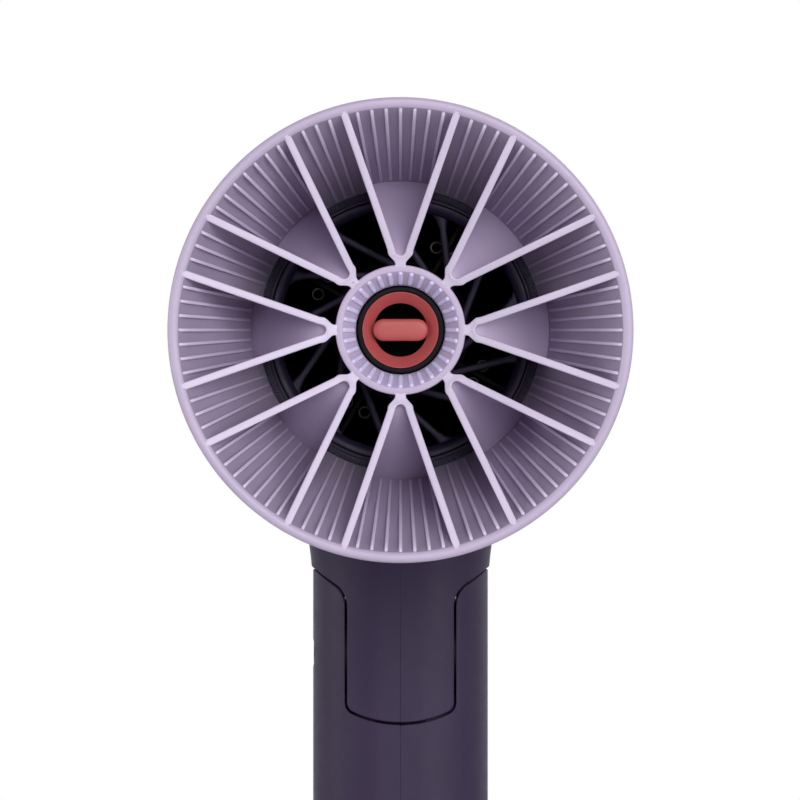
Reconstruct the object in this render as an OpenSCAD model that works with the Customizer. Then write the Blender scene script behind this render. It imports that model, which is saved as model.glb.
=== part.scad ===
// Travel hair dryer with a folding handle and a petal cup on its outlet.
// Millimetres. The outlet looks along -Y, Z is up, and the origin is the centre
// of the cord inlet's mouth, in the flat end of the handle.

/* [Cup] */
// outer radius of the rim
rim_radius = 51; // [50:0.5:53]
// depth of the cup, from its throat to its rim
cup_depth = 44; // [42:0.5:47]
// thickness of the petals' side walls
petal_wall = 1.65; // [1.4:0.05:1.9]
// width of one rib on the flared wall
rib_width = 0.75; // [0.6:0.05:0.9]

/* [Head] */
// height of the air's axis above the handle's end
axis_height = 165; // [162:1:175]
// outer radius of the barrel
barrel_radius = 36; // [36:0.5:38]
// length of the barrel behind the throat
barrel_length = 92; // [92:1:100]
// outer radius of the outlet spigot
outlet_radius = 31; // [30.8:0.1:31.4]

/* [Hinge] */
// drop from the air's axis to the hinge pin
pivot_drop = 72; // [71:0.5:74]
// visible seam between the neck and the handle
seam_gap = 0.5; // [0.4:0.05:0.6]
// radius of the hinge pin
pin_radius = 2.5; // [2:0.1:2.6]

/* [Handle] */
// width across the handle
handle_width = 39; // [38:0.5:41]
// depth of the handle, front to back
handle_depth = 31; // [30.5:0.5:32]
// thickness of the moulded walls
shell_wall = 2; // [1.8:0.1:2.2]
// radius of the cord inlet
inlet_radius = 4; // [3.5:0.1:4.5]
// radius of the hanging eye
eye_radius = 3.2; // [3:0.1:3.6]

/* [Controls] */
// travel of the two sliders
slider_travel = 8; // [6:0.5:8]
// travel of the cool button
press_travel = 1.5; // [1:0.1:1.6]

/* [Fits] */
// gap around pieces that turn or slide
running_gap = 0.2; // [0.15:0.05:0.25]
// gap around pieces that stay where they are put
seat_gap = 0.1; // [0.05:0.05:0.15]

/* [Hidden] */
$fn = 96;

// the throat's plane, and the hinge pin's height
outlet_y = -40;
pivot_z = axis_height - pivot_drop;

// nested rings at the outlet, from the spigot outwards
spigot_bore = outlet_radius - 2;
ring_inner = outlet_radius + running_gap;
ring_outer = outlet_radius + 1.5;
ring_lip = outlet_radius - 1.3;
sleeve_inner = ring_outer + running_gap;
sleeve_outer = sleeve_inner + 2;
sleeve_length = 11.6;
spigot_front = -0.9;
lip_back = spigot_front + running_gap;
groove_d = [-7.9, -5.6];
groove_radius = outlet_radius - 0.6;
shoulder_d = -12.2;

// the flared wall inside the cup, r as a function of the distance d before the throat
throat_radius = outlet_radius + 0.3;
throat_edge = 1;
lip_width = 1.8;
cone_top = rim_radius - lip_width;
cone_front = cup_depth - 0.6;
cone_slope = (cone_top - throat_radius) / (cone_front - throat_edge);
cone_angle = atan(cone_slope);
function cone_r(d) = throat_radius + cone_slope * (d - throat_edge);
function cone_d(r) = throat_edge + (r - throat_radius) / cone_slope;
rib_height = 1.1;
rib_pitch = 3.75;
rib_end = cup_depth - 2.4;

// petals: walls at 19.2 degrees to the petal's axis, floors that slope back to a crease
petals = 8;
wall_angle = 19.2;
wall_offset = 3.91;
wall_start = 14.6;
wall_seat = 0.4;
crease_radius = throat_radius + 1.5;
crease_d = cone_d(crease_radius);
floor_wall = 1.6;
wall_foot = 0.3;
pocket_end = 16.5;
pocket_d = 18.5;
floor_slope = (pocket_d - crease_d) / (crease_radius - pocket_end);
stem_width = 2.35;
function floor_d(r) = crease_d + floor_slope * (crease_radius - r);

// hub of the petals, round the ion nozzle
hub_outer = 14.1;
hub_lip = 12.85;
hub_front = 22;
hub_back = 12;
hub_ribs = 32;
nozzle_outer = 9.5;
nozzle_inner = 8.5;
nozzle_front = 18.5;
hub_bore = nozzle_outer + running_gap + 0.1;
dish_slope = (cone_front + 0.1 - hub_front) / (cone_top + wall_seat - hub_outer);
function dish_d(r) = hub_front + dish_slope * (r - hub_outer);

// outlet grille and ion port
grille_inner = spigot_bore - 2.5;
grille_back = -7;
grille_hub = 13;
spokes = 13;
spoke_width = 1.6;
spoke_tangent = 12;
spoke_turn = 6.8;
dish_outer = nozzle_inner - seat_gap;
dish_hole = 5.9;
pill_length = 12.2;
pill_width = 4.85;

// heater
shield_outer = spigot_bore - 0.3;
shield_wall = 0.6;
rear_d = -barrel_length;
fan_d = [rear_d + 3.5, rear_d + 12];
motor_d = [rear_d + 14, rear_d + 40];
mount_d = [motor_d[0] + 2, motor_d[1] - 2];
shield_d = [motor_d[1] + 4, grille_back - 0.3];
former_d = [shield_d[0] + 2, grille_back - 3];
former_wall = 0.8;
former_reach = shield_outer - shield_wall - running_gap;
former_turn = 60;
coil_mean = 1.2;
coil_wire = 0.35;
coil_turns = 8;
coil_end = 1.2;
coil_pitch = (former_d[1] - former_d[0] - 2 * coil_end) / coil_turns;
thermostat_size = [8, 3, 13];
thermostat_d = former_d[1] - 20;
fuse_radius = 1.5;
fuse_length = 11;
fuse_d = former_d[1] - 22;
coil_reach = 19.8;
coil_off = former_wall / 2 + 0.3 + coil_mean + coil_wire;

// motor and fan
motor_radius = 14;
shaft_radius = 1.15;
fan_hub = 10;
fan_blades = 11;
fan_chord = 13.4;
fan_blade = 1.2;
fan_pitch = 36;
barrel_inner = barrel_radius - 2.2;
rear_inner = barrel_radius - 3.8;
fan_tip = rear_inner - 1;
mount_outer = barrel_inner - running_gap;
mount_vanes = 11;
vane_wall = 1.4;
vane_length = 16;
vane_tilt = 30;

// rear grille and filter
grille_depth = 3;
bar_depth = 2.4;
bar_width = 1.5;
ring_step = 5;
filter_wall = 0.6;
filter_hole = 1.9;
filter_step = 5.3;

// oval section of the handle and neck: two half circles and a straight middle
side_radius = handle_depth / 2;
side_x = (handle_width - handle_depth) / 2;
flare_z = pivot_z + 11.8;
flare_radius = 87;
neck_top = axis_height - 20;

// ion module in the neck, under the heat shield
module_depth = 10;
module_height = 15;
module_top = axis_height - shield_outer - 0.6;

// hinge: a tongue on the neck between two cheeks of the handle, apron in front
slot_half = 12.4;
tongue_half = slot_half - seam_gap;
cheek_radius = 18.65;
cheek_corner = 2;
knuckle_radius = sqrt(pow(side_radius, 2) - pow(tongue_half - side_x, 2)) - 0.15;
slot_floor = side_radius + 0.5;
apron_arc = 25;
apron_drop = 15.35;
apron_corner = 2.3;
washer_outer = knuckle_radius - 1;
washer_depth = 0.6;
pin_left = -17;
pin_right = 16;
cap_radius = pin_radius + 0.35;
cap_sink = 0.15;

// screws along X: [y, z, x of the head's seat]
screw_shank = 1.1;
screw_head = 2.2;
screw_head_height = 1.3;
screw_boss = 2.6;
screw_tip = 8;
side_seat = side_x + side_radius - 4.2;
HEAD_SCREWS = [
    [9.6, pivot_z + 23.5, side_seat - 0.1],
    [-22.5, axis_height - barrel_inner + 2.35, 13]
];
HANDLE_SCREWS = [[5.5, 19, side_seat - 0.1], [5.5, pivot_z - 27, side_seat - 0.1]];

// handle's inside and its controls
cap_height = 5;
plug_height = 4;
plate_length = 36;
plate_z = [pivot_z - 27 - plate_length, pivot_z - 27];
plate_half = 8.8;
plate_face = side_radius + 1.1;
plate_back = 11.5;
slider_x = 4.3;
stem_size = [3, 4];
stem_z = plate_z[0] + 4.5;
stem_back = 10.2;
knob_size = [7.2, 9];
knob_height = 2.4;
button_z = plate_z[1] - 8.5;
button_radius = 4.4;
button_face = plate_face + press_travel + 0.3;
button_flange = [5.6, 1.1];
flange_top = plate_back - running_gap;
board_y = [0.2, 1.8];
board_z = [20, pivot_z - 25];
block_half = 8.2;
block_z = [plate_z[0] + 2, plate_z[0] + 20];
button_block = 8;
button_seat = 6;
spring_mean = 2.6;
spring_wire = 0.35;
spring_turns = 3;
spring_room = flange_top - button_flange[1] - button_seat;
spring_pitch = (spring_room - 2 * spring_wire - 2 * seat_gap) / spring_turns;
eye_y = side_radius + eye_radius + 0.8;
eye_wall = 2.6;
eye_height = 4.5;

far = 200;

// an unbroken wire of round section along a helix, 8 rings a turn and 6 sides
function coil_centre(i, mean, pitch) = [mean * cos(45 * i), mean * sin(45 * i), pitch * i / 8];
function coil_ring(i, mean, pitch, wire) =
    let (
        out = [cos(45 * i), sin(45 * i), 0],
        run = [-mean * sin(45 * i) * PI / 4, mean * cos(45 * i) * PI / 4, pitch / 8],
        up = cross(run / norm(run), out)
    )
    [for (j = [0:5]) coil_centre(i, mean, pitch) + wire * (cos(60 * j) * out + sin(60 * j) * up)];
function coil_gap(turns, mean, pitch, wire) =
    min([for (i = [0:7]) for (j = [i + 5:8 * turns])
        norm(coil_centre(i, mean, pitch) - coil_centre(j, mean, pitch))]) - 2 * wire;

module coil(turns, mean, pitch, wire) {
    rings = 8 * turns;
    points = [for (i = [0:rings]) each coil_ring(i, mean, pitch, wire)];
    sides = [for (i = [0:rings - 1]) for (j = [0:5])
        let (a = 6 * i + j, b = 6 * i + (j + 1) % 6)
        each [[a, a + 6, b], [b, a + 6, b + 6]]];
    first = [for (j = [1:4]) [0, j, j + 1]];
    last = [for (j = [1:4]) [6 * rings, 6 * rings + j + 1, 6 * rings + j]];
    polyhedron(points, concat(sides, first, last));
}

echo(heater_coil_gap = coil_gap(coil_turns, coil_mean, coil_pitch, coil_wire));
echo(button_spring_gap = coil_gap(spring_turns, spring_mean, spring_pitch, spring_wire));

// the head's own frame: x right, y up, z towards the front of the throat
module head_frame() {
    translate([0, outlet_y, axis_height]) rotate([90, 0, 0]) children();
}

// a ring between two radii and two distances before the throat
module ring(inner, outer, back, front) {
    translate([0, 0, back]) difference() {
        cylinder(r = outer, h = front - back);
        translate([0, 0, -1]) cylinder(r = inner, h = front - back + 2);
    }
}

// an axle along X at a height and depth
module along_x(radius, from, to, y, z) {
    translate([from, y, z]) rotate([0, 90, 0]) cylinder(r = radius, h = to - from);
}

module oval_2d(inset) {
    for (s = [-1, 1]) translate([s * side_x, 0]) circle(side_radius - inset);
    square([2 * side_x, handle_depth - 2 * inset], center = true);
}

module oval(inset, from, to) {
    translate([0, 0, from]) linear_extrude(to - from) oval_2d(inset);
}

module screws(places) {
    for (p = places) {
        along_x(screw_shank, -screw_tip, p[2] + 0.1, p[0], p[1]);
        along_x(screw_head, p[2], p[2] + screw_head_height, p[0], p[1]);
    }
}

module screw_bosses(places) {
    for (p = places) along_x(screw_boss, -p[2] - 1, p[2] + 1, p[0], p[1]);
}

module screw_holes(places) {
    for (p = places) {
        along_x(screw_shank + seat_gap, -screw_tip - seat_gap, p[2], p[0], p[1]);
        along_x(screw_head + running_gap, p[2] - seat_gap, far, p[0], p[1]);
    }
}

module left_half() {
    intersection() {
        children();
        translate([-far, -far, -1]) cube([far, 2 * far, 2 * far]);
    }
}

module right_half() {
    intersection() {
        children();
        translate([0, -far, -1]) cube([far, 2 * far, 2 * far]);
    }
}

// cup

module rib(angle, from) {
    rotate([0, 0, angle]) translate([cone_r(from), 0, from]) rotate([0, cone_angle, 0])
        translate([-rib_height, -rib_width / 2, 0])
            cube([rib_height + 0.6, rib_width, (rib_end - from) / cos(cone_angle)]);
}

module petal_walls_2d(grow) {
    for (s = [0, 1]) mirror([s, 0]) rotate(-wall_angle)
        translate([-wall_offset - petal_wall / 2 - grow, wall_start])
            square([petal_wall + 2 * grow, rim_radius]);
}

// the space of the walls: from the floor's back to the dished front, seated in the flared wall
module wall_zone(grow) {
    seat = wall_seat + grow;
    back = floor_wall + wall_foot + grow;
    foot = (throat_radius + seat
        + cone_slope * (crease_d - back + floor_slope * crease_radius - throat_edge))
        / (1 + cone_slope * floor_slope);
    rotate_extrude() polygon([
        [hub_lip + 0.5, floor_d(hub_lip + 0.5) - back],
        [foot, floor_d(foot) - back],
        [cone_top + seat, cone_front],
        [cone_top + seat, dish_d(cone_top + seat) + grow],
        [hub_lip + 0.5, dish_d(hub_lip + 0.5) + grow]
    ]);
}

module floor_zone() {
    edge = crease_radius - seat_gap;
    foot = edge - floor_wall * cone_slope;
    rotate_extrude() polygon([
        [pocket_end - 1.5, floor_d(pocket_end - 1.5) - floor_wall],
        [foot - 0.5, floor_d(foot - 0.5) - floor_wall],
        [edge, floor_d(edge)],
        [pocket_end - 1.5, floor_d(pocket_end - 1.5)]
    ]);
}

module petal_inside_2d() {
    tip = wall_offset / sin(wall_angle);
    polygon([[0, tip], [-far * sin(wall_angle), tip + far * cos(wall_angle)],
        [far * sin(wall_angle), tip + far * cos(wall_angle)]]);
}

module each_petal() {
    for (k = [0:petals - 1]) rotate([0, 0, 360 / petals * k]) children();
}

module petal() {
    intersection() {
        linear_extrude(far) {
            petal_walls_2d(0);
            intersection() {
                petal_inside_2d();
                circle(pocket_end);
            }
            translate([-stem_width / 2, hub_lip]) square([stem_width, pocket_end - hub_lip]);
        }
        wall_zone(0);
    }
    intersection() {
        linear_extrude(far) petal_inside_2d();
        floor_zone();
    }
}

module hub() {
    rise = hub_front - 0.4;
    funnel_foot = rise - 4;
    lean = atan((hub_lip - hub_bore) / 4);
    difference() {
        rotate_extrude() polygon([
            [hub_bore, hub_back], [hub_outer, hub_back], [hub_outer, rise],
            [hub_outer - 0.4, hub_front], [hub_lip + 0.4, hub_front], [hub_lip, rise],
            [hub_bore, funnel_foot]
        ]);
    }
    for (k = [0:hub_ribs - 1]) rotate([0, 0, 360 / hub_ribs * k])
        translate([hub_bore + 0.6, 0, funnel_foot + 0.6 / tan(lean)]) rotate([0, lean, 0])
            translate([-0.5, -0.4, 0]) cube([1, 0.8, 3.4 / cos(lean) - 0.4]);
}

module cup_shell() {
    color("thistle") head_frame() difference() {
        union() {
            rotate_extrude() polygon([
                [sleeve_inner, -sleeve_length], [sleeve_outer, -sleeve_length], [sleeve_outer, 2],
                [rim_radius, cup_depth - 2], [rim_radius, cup_depth - 0.6],
                [rim_radius - 0.6, cup_depth], [cone_top + 0.6, cup_depth], [cone_top, cone_front],
                [throat_radius, throat_edge], [throat_radius, running_gap],
                [sleeve_inner, running_gap]
            ]);
            each_petal() {
                for (i = [-3:3]) rib(90 + i * rib_pitch, crease_d + 0.4);
                for (i = [-1:1]) rib(90 + 180 / petals + i * rib_pitch, throat_edge + 0.3);
            }
        }
        each_petal() intersection() {
            linear_extrude(far) petal_walls_2d(seat_gap);
            wall_zone(seat_gap);
        }
    }
}

module petal_spider() {
    color("plum") head_frame() {
        hub();
        each_petal() petal();
    }
}

module snap_ring() {
    color("indigo") head_frame() rotate_extrude() polygon([
        [ring_inner, shoulder_d + 0.6], [ring_outer, shoulder_d + 0.6], [ring_outer, 0],
        [ring_lip, 0], [ring_lip, lip_back], [ring_inner, lip_back],
        [ring_inner, groove_d[1] - running_gap], [groove_radius + running_gap, groove_d[1] - 0.4],
        [groove_radius + running_gap, groove_d[0] + 0.6], [ring_inner, groove_d[0] + running_gap]
    ]);
}

// outlet grille and ion port

module outlet_grille() {
    color("dimgray") head_frame() {
        ring(grille_inner, spigot_bore - seat_gap, grille_back, spigot_front);
        ring(nozzle_outer + seat_gap, grille_hub, grille_back, -2);
        for (k = [0:spokes - 1]) rotate([0, 0, spoke_turn + 360 / spokes * k])
            translate([spoke_tangent - spoke_width / 2, 0, grille_back + 1])
                cube([spoke_width, sqrt(pow(grille_inner + 0.6, 2) - pow(spoke_tangent, 2)), 3]);
    }
}

module ion_nozzle() {
    color("indigo") head_frame() rotate_extrude() polygon([
        [nozzle_inner, -9], [nozzle_outer + 1.5, -9], [nozzle_outer + 1.5, grille_back - seat_gap],
        [nozzle_outer, grille_back - seat_gap], [nozzle_outer, nozzle_front - 0.4],
        [nozzle_outer - 0.3, nozzle_front], [nozzle_inner + 0.1, nozzle_front],
        [nozzle_inner, nozzle_front - 0.2]
    ]);
}

module ion_port_dish() {
    back = nozzle_front - 5;
    color("indianred") head_frame() rotate_extrude() polygon([
        [dish_hole, back], [dish_outer, back], [dish_outer, nozzle_front - 0.5],
        [dish_outer - 0.3, nozzle_front - 0.3], [dish_hole, nozzle_front - 2.9]
    ]);
}

module ion_bridge() {
    reach = pill_length / 2 - pill_width / 2;
    color("salmon") head_frame() translate([0, 0, nozzle_front - 2.6]) {
        for (s = [-1, 1]) translate([s * reach, 0, 0]) cylinder(r = pill_width / 2, h = 2.4);
        translate([-reach, -pill_width / 2, 0]) cube([2 * reach, pill_width, 2.4]);
    }
}

module ion_needle() {
    color("silver") head_frame() {
        cylinder(r = 0.5, h = nozzle_front - 5);
        translate([0, 0, -2]) cylinder(r = nozzle_inner - seat_gap, h = 2.4);
    }
}

module ion_module() {
    half = [side_x + side_radius - shell_wall - 0.6, module_depth / 2];
    color("black") translate([-half[0], -half[1], module_top - module_height])
        cube([2 * half[0], 2 * half[1], module_height]);
}

// heater

module heat_shield() {
    color("tan") head_frame() ring(shield_outer - shield_wall, shield_outer, shield_d[0], shield_d[1]);
}

module heater_former() {
    color("wheat") head_frame() for (k = [0, 1]) rotate([0, 0, former_turn + 90 * k])
        translate([-former_reach, -former_wall / 2, former_d[0]])
            cube([2 * former_reach, former_wall, former_d[1] - former_d[0]]);
}

module heater_coils() {
    color("gray") head_frame() for (k = [0:3]) for (s = [-1, 1])
        rotate([0, 0, former_turn + 90 * k])
            translate([coil_reach, s * coil_off, former_d[0] + coil_end])
                coil(coil_turns, coil_mean, coil_pitch, coil_wire);
}

module thermostat() {
    color("silver") head_frame() rotate([0, 0, former_turn])
        translate([6, former_wall / 2, thermostat_d]) cube(thermostat_size);
}

module thermal_fuse() {
    color("silver") head_frame() rotate([0, 0, former_turn + 90])
        translate([10, former_wall / 2 + fuse_radius + seat_gap, fuse_d])
            cylinder(r = fuse_radius, h = fuse_length);
}

// motor and fan

module motor_can() {
    color("silver") head_frame() difference() {
        union() {
            translate([0, 0, motor_d[0]]) cylinder(r = motor_radius, h = motor_d[1] - motor_d[0]);
            translate([0, 0, motor_d[0] - 1]) cylinder(r = 4.5, h = motor_d[1] - motor_d[0] + 3);
        }
        translate([0, 0, motor_d[0] - 2])
            cylinder(r = shaft_radius + seat_gap, h = motor_d[1] - motor_d[0] + 6);
    }
}

module motor_mount() {
    cup_wall = 1.5;
    inner = motor_radius + seat_gap;
    outer = inner + cup_wall;
    front = motor_d[1] + seat_gap;
    color("dimgray") head_frame() {
        rotate_extrude() polygon([
            [inner, mount_d[0]], [outer, mount_d[0]], [outer, front + cup_wall],
            [5, front + cup_wall], [5, front], [inner, front]
        ]);
        ring(mount_outer - 1.8, mount_outer, mount_d[0], mount_d[1]);
        for (k = [0:mount_vanes - 1]) rotate([0, 0, 90 + 360 / mount_vanes * k])
            translate([outer - 0.4, 0, (mount_d[0] + mount_d[1]) / 2]) rotate([-vane_tilt, 0, 0])
                translate([0, -vane_wall / 2, -vane_length / 2])
                    cube([mount_outer - outer - 0.8, vane_wall, vane_length]);
    }
}

module motor_shaft() {
    color("silver") head_frame() translate([0, 0, fan_d[0] + 1])
        cylinder(r = shaft_radius, h = motor_d[1] - fan_d[0] + 1);
}

module impeller() {
    middle = (fan_d[0] + fan_d[1]) / 2;
    color("gray") head_frame() difference() {
        union() {
            translate([0, 0, fan_d[0]]) cylinder(r = fan_hub, h = fan_d[1] - fan_d[0]);
            intersection() {
                translate([0, 0, fan_d[0]]) cylinder(r = fan_tip, h = fan_d[1] - fan_d[0]);
                for (k = [0:fan_blades - 1]) rotate([0, 0, 360 / fan_blades * k])
                    translate([fan_hub - 1, 0, middle]) rotate([fan_pitch, 0, 0])
                        translate([0, -fan_chord / 2, -fan_blade / 2])
                            cube([fan_tip, fan_chord, fan_blade]);
            }
        }
        translate([0, 0, fan_d[0] + 1 - seat_gap])
            cylinder(r = shaft_radius + seat_gap / 2, h = far);
    }
}

// rear end

module rear_grille() {
    outer = rear_inner + 2;
    inner = rear_inner - running_gap;
    back = rear_d - grille_depth;
    color("dimgray") head_frame() {
        rotate_extrude() polygon([
            [inner - 1.6, back], [outer - 1.5, back], [outer, back + 1.5],
            [outer, rear_d - seat_gap], [inner, rear_d - seat_gap], [inner, rear_d + 3],
            [inner - 1.6, rear_d + 3]
        ]);
        translate([0, 0, back]) cylinder(r = ring_step, h = bar_depth);
        for (k = [2:5]) ring(k * ring_step, k * ring_step + bar_width, back, back + bar_depth);
        for (k = [0:11]) rotate([0, 0, 30 * k]) translate([ring_step - 1, -bar_width / 2, back])
            cube([inner - ring_step + 0.2, bar_width, bar_depth]);
    }
}

module filter_mesh() {
    reach = rear_inner - running_gap - 1.6 - seat_gap;
    color("silver") head_frame() translate([0, 0, rear_d - 0.5]) difference() {
        cylinder(r = reach, h = filter_wall);
        for (k = [1:5]) for (i = [0:6 * k - 1]) rotate([0, 0, 60 / k * i])
            translate([filter_step * k, 0, -1]) cylinder(r = filter_hole, h = 3, $fn = 24);
    }
}

// head shells: barrel, neck and hinge tongue in two halves

module barrel_outer() {
    head_frame() difference() {
        rotate_extrude() polygon([
            [0, rear_d], [barrel_radius - 1.8, rear_d], [barrel_radius, rear_d + 9],
            [barrel_radius, shoulder_d - 1.2], [barrel_radius - 1.2, shoulder_d],
            [outlet_radius, shoulder_d], [outlet_radius, spigot_front], [0, spigot_front]
        ]);
        ring(groove_radius, far, groove_d[0], groove_d[1]);
    }
}

module barrel_hollow() {
    head_frame() rotate_extrude() polygon([
        [0, rear_d - 1], [rear_inner, rear_d - 1], [rear_inner, rear_d + 6],
        [barrel_inner, rear_d + 8], [barrel_inner, shoulder_d - 2.4],
        [spigot_bore, shoulder_d - 2.4], [spigot_bore, 1], [0, 1]
    ]);
}

// half of the neck's side view: straight, then flared into the barrel along an arc
function flare(z) = z < flare_z ? 0 : flare_radius - sqrt(pow(flare_radius, 2) - pow(z - flare_z, 2));

module neck_half_2d(inset, from, to) {
    reach = side_radius - inset;
    steps = 12;
    polygon(concat(
        [[0, to], [0, from], [reach, from]],
        [for (i = [0:steps]) let (z = flare_z + (to - flare_z) * i / steps) [reach + flare(z), z]]
    ));
}

module neck(inset, from, to) {
    for (s = [-1, 1]) translate([s * side_x, 0, 0]) rotate([0, 0, -90 * s])
        rotate_extrude(angle = 180) neck_half_2d(inset, from, to);
    translate([-side_x, 0, 0]) rotate([90, 0, 90]) linear_extrude(2 * side_x) {
        neck_half_2d(inset, from, to);
        mirror([1, 0]) neck_half_2d(inset, from, to);
    }
}

// all that turns with the cheeks, outside a distance from the middle
module cheek_zone(half, radius, corner) {
    for (s = [0, 1]) mirror([s, 0, 0]) translate([0, 0, pivot_z]) rotate([0, 90, 0])
        rotate_extrude() {
            translate([0, half]) square([radius - corner, far]);
            translate([0, half + corner]) square([radius, far]);
            translate([radius - corner, half + corner]) circle(corner);
        }
}

// front view of the apron: straight sides, rounded corners and a shallow arc below
module apron_2d(grow) {
    half = tongue_half + grow;
    arc = apron_arc + grow;
    corner = apron_corner + grow;
    arc_z = apron_arc - apron_drop;
    corner_x = half - corner;
    corner_z = arc_z - sqrt(pow(arc - corner, 2) - pow(corner_x, 2));
    turn = atan2(corner_z - arc_z, corner_x);
    side = [for (i = [0:6]) let (a = turn * i / 6)
        [corner_x + corner * cos(a), corner_z + corner * sin(a)]];
    bottom = [for (i = [1:15]) let (a = turn - (180 + 2 * turn) * i / 16)
        [arc * cos(a), arc_z + arc * sin(a)]];
    other_side = [for (i = [6:-1:0]) [-side[i][0], side[i][1]]];
    polygon(concat([[half, 0]], side, bottom, other_side, [[-half, 0]]));
}

module apron_block(grow) {
    translate([0, 0, pivot_z]) rotate([90, 0, 0]) linear_extrude(far) apron_2d(grow);
}

module oval_shell(from, to) {
    difference() {
        oval(0, from, to);
        oval(shell_wall, from - 1, to + 1);
    }
}

module tongue() {
    difference() {
        neck(0, pivot_z, neck_top);
        cheek_zone(tongue_half, cheek_radius + seam_gap, cheek_corner + seam_gap);
    }
    along_x(knuckle_radius, -tongue_half, tongue_half, 0, pivot_z);
    intersection() {
        oval_shell(pivot_z - 20, pivot_z);
        apron_block(0);
    }
}

module tongue_hollow() {
    wall = shell_wall + 0.2;
    inside = tongue_half - wall;
    above = pivot_z + cheek_radius + seam_gap + wall;
    difference() {
        neck(wall, pivot_z + 4, neck_top + 1);
        for (s = [0, 1]) mirror([s, 0, 0]) translate([inside, -far, 0]) cube([far, 2 * far, above]);
    }
    along_x(knuckle_radius - wall, -inside, inside, 0, pivot_z);
}

module head_bosses() {
    intersection() {
        screw_bosses([HEAD_SCREWS[0]]);
        neck(0.6, pivot_z + 1, neck_top);
    }
    intersection() {
        screw_bosses([HEAD_SCREWS[1]]);
        head_frame() translate([0, 0, rear_d]) cylinder(r = barrel_radius - 0.6, h = barrel_length);
    }
}

module head_shell() {
    difference() {
        union() {
            difference() {
                union() {
                    barrel_outer();
                    tongue();
                }
                barrel_hollow();
                tongue_hollow();
            }
            head_bosses();
            along_x(pin_radius + 2.4, 0.5 - tongue_half, tongue_half - 0.5, 0, pivot_z);
        }
        along_x(pin_radius + seat_gap, -far, far, 0, pivot_z);
        for (s = [0, 1]) mirror([s, 0, 0])
            along_x(washer_outer + running_gap, tongue_half - washer_depth, far, 0, pivot_z);
        screw_holes(HEAD_SCREWS);
    }
}

module head_shell_left() {
    color("darkslateblue") left_half() head_shell();
}

module head_shell_right() {
    color("slateblue") right_half() head_shell();
}

module head_screws() {
    color("silver") screws(HEAD_SCREWS);
}

// hinge

module hinge_pin() {
    color("silver") along_x(pin_radius, pin_left, pin_right, 0, pivot_z);
}

module hinge_cap() {
    color("black") along_x(cap_radius, -handle_width / 2 + cap_sink, pin_left - seat_gap, 0, pivot_z);
}

module hinge_washers() {
    color("silver") for (s = [0, 1]) mirror([s, 0, 0]) difference() {
        along_x(washer_outer, tongue_half - washer_depth + seat_gap,
            slot_half - seat_gap / 2, 0, pivot_z);
        along_x(pin_radius + seat_gap, 0, far, 0, pivot_z);
    }
}

// handle shells in two halves

// room for the tongue to turn back, and for the apron in front of a block that hides the inside
module tongue_room() {
    translate([-slot_half, -far, pivot_z]) cube([2 * slot_half, 2 * far, far]);
    translate([-slot_half, 0, pivot_z - slot_floor]) cube([2 * slot_half, far, far]);
    along_x(knuckle_radius + seam_gap, -slot_half, slot_half, 0, pivot_z);
    difference() {
        translate([-slot_half, -far, pivot_z - slot_floor]) cube([2 * slot_half, far, far]);
        oval(shell_wall + seam_gap, 0, pivot_z + 1);
    }
}

module handle_shell() {
    difference() {
        union() {
            difference() {
                oval(0, cap_height, pivot_z);
                oval(shell_wall, cap_height - 1, pivot_z - slot_floor - shell_wall);
                tongue_room();
            }
            intersection() {
                oval(0, pivot_z - 1, pivot_z + cheek_radius + 1);
                cheek_zone(slot_half, cheek_radius, cheek_corner);
            }
            difference() {
                intersection() {
                    oval_shell(pivot_z - slot_floor - 0.5, pivot_z - 8);
                    translate([-slot_half - 1, -far, 0]) cube([2 * slot_half + 2, far, far]);
                }
                apron_block(seam_gap);
            }
            intersection() {
                oval(0, cap_height, pivot_z - slot_floor);
                screw_bosses(HANDLE_SCREWS);
            }
        }
        along_x(pin_radius + seat_gap / 2, pin_left, pin_right + seat_gap, 0, pivot_z);
        along_x(cap_radius + seat_gap, -far, pin_left, 0, pivot_z);
        translate([0, 0, pivot_z - slot_floor - 10]) cylinder(r = 4, h = 20);
        translate([-plate_half - seat_gap, 0, plate_z[0] - seat_gap])
            cube([2 * (plate_half + seat_gap), far, plate_z[1] - plate_z[0] + 2 * seat_gap]);
        screw_holes(HANDLE_SCREWS);
    }
}

module handle_shell_left() {
    color("rebeccapurple") left_half() handle_shell();
}

module handle_shell_right() {
    color("mediumpurple") right_half() handle_shell();
}

module handle_screws() {
    color("silver") screws(HANDLE_SCREWS);
}

// controls on the back of the handle

module slider_slot(side) {
    translate([side * slider_x - stem_size[0] / 2 - running_gap, 0, stem_z - running_gap])
        cube([stem_size[0] + 2 * running_gap, far, stem_size[1] + slider_travel + 2 * running_gap]);
}

module switch_plate() {
    color("black") difference() {
        translate([-plate_half, plate_back, plate_z[0]])
            cube([2 * plate_half, plate_face - plate_back, plate_z[1] - plate_z[0]]);
        slider_slot(-1);
        slider_slot(1);
        translate([0, 0, button_z]) rotate([-90, 0, 0])
            cylinder(r = button_radius + running_gap, h = far);
    }
}

module slider(side) {
    knob_z = stem_z + stem_size[1] / 2 - knob_size[1] / 2;
    knob_y = plate_face + running_gap;
    translate([side * slider_x - stem_size[0] / 2, stem_back, stem_z])
        cube([stem_size[0], knob_y - stem_back + 0.5, stem_size[1]]);
    difference() {
        translate([side * slider_x - knob_size[0] / 2, knob_y, knob_z])
            cube([knob_size[0], knob_height, knob_size[1]]);
        for (i = [1:4]) translate([side * slider_x - far / 2, knob_y + knob_height - 0.5,
            knob_z + knob_size[1] * i / 5 - 0.4]) cube([far, 1, 0.8]);
    }
}

module speed_slider() {
    color("plum") slider(-1);
}

module heat_slider() {
    color("plum") slider(1);
}

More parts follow.
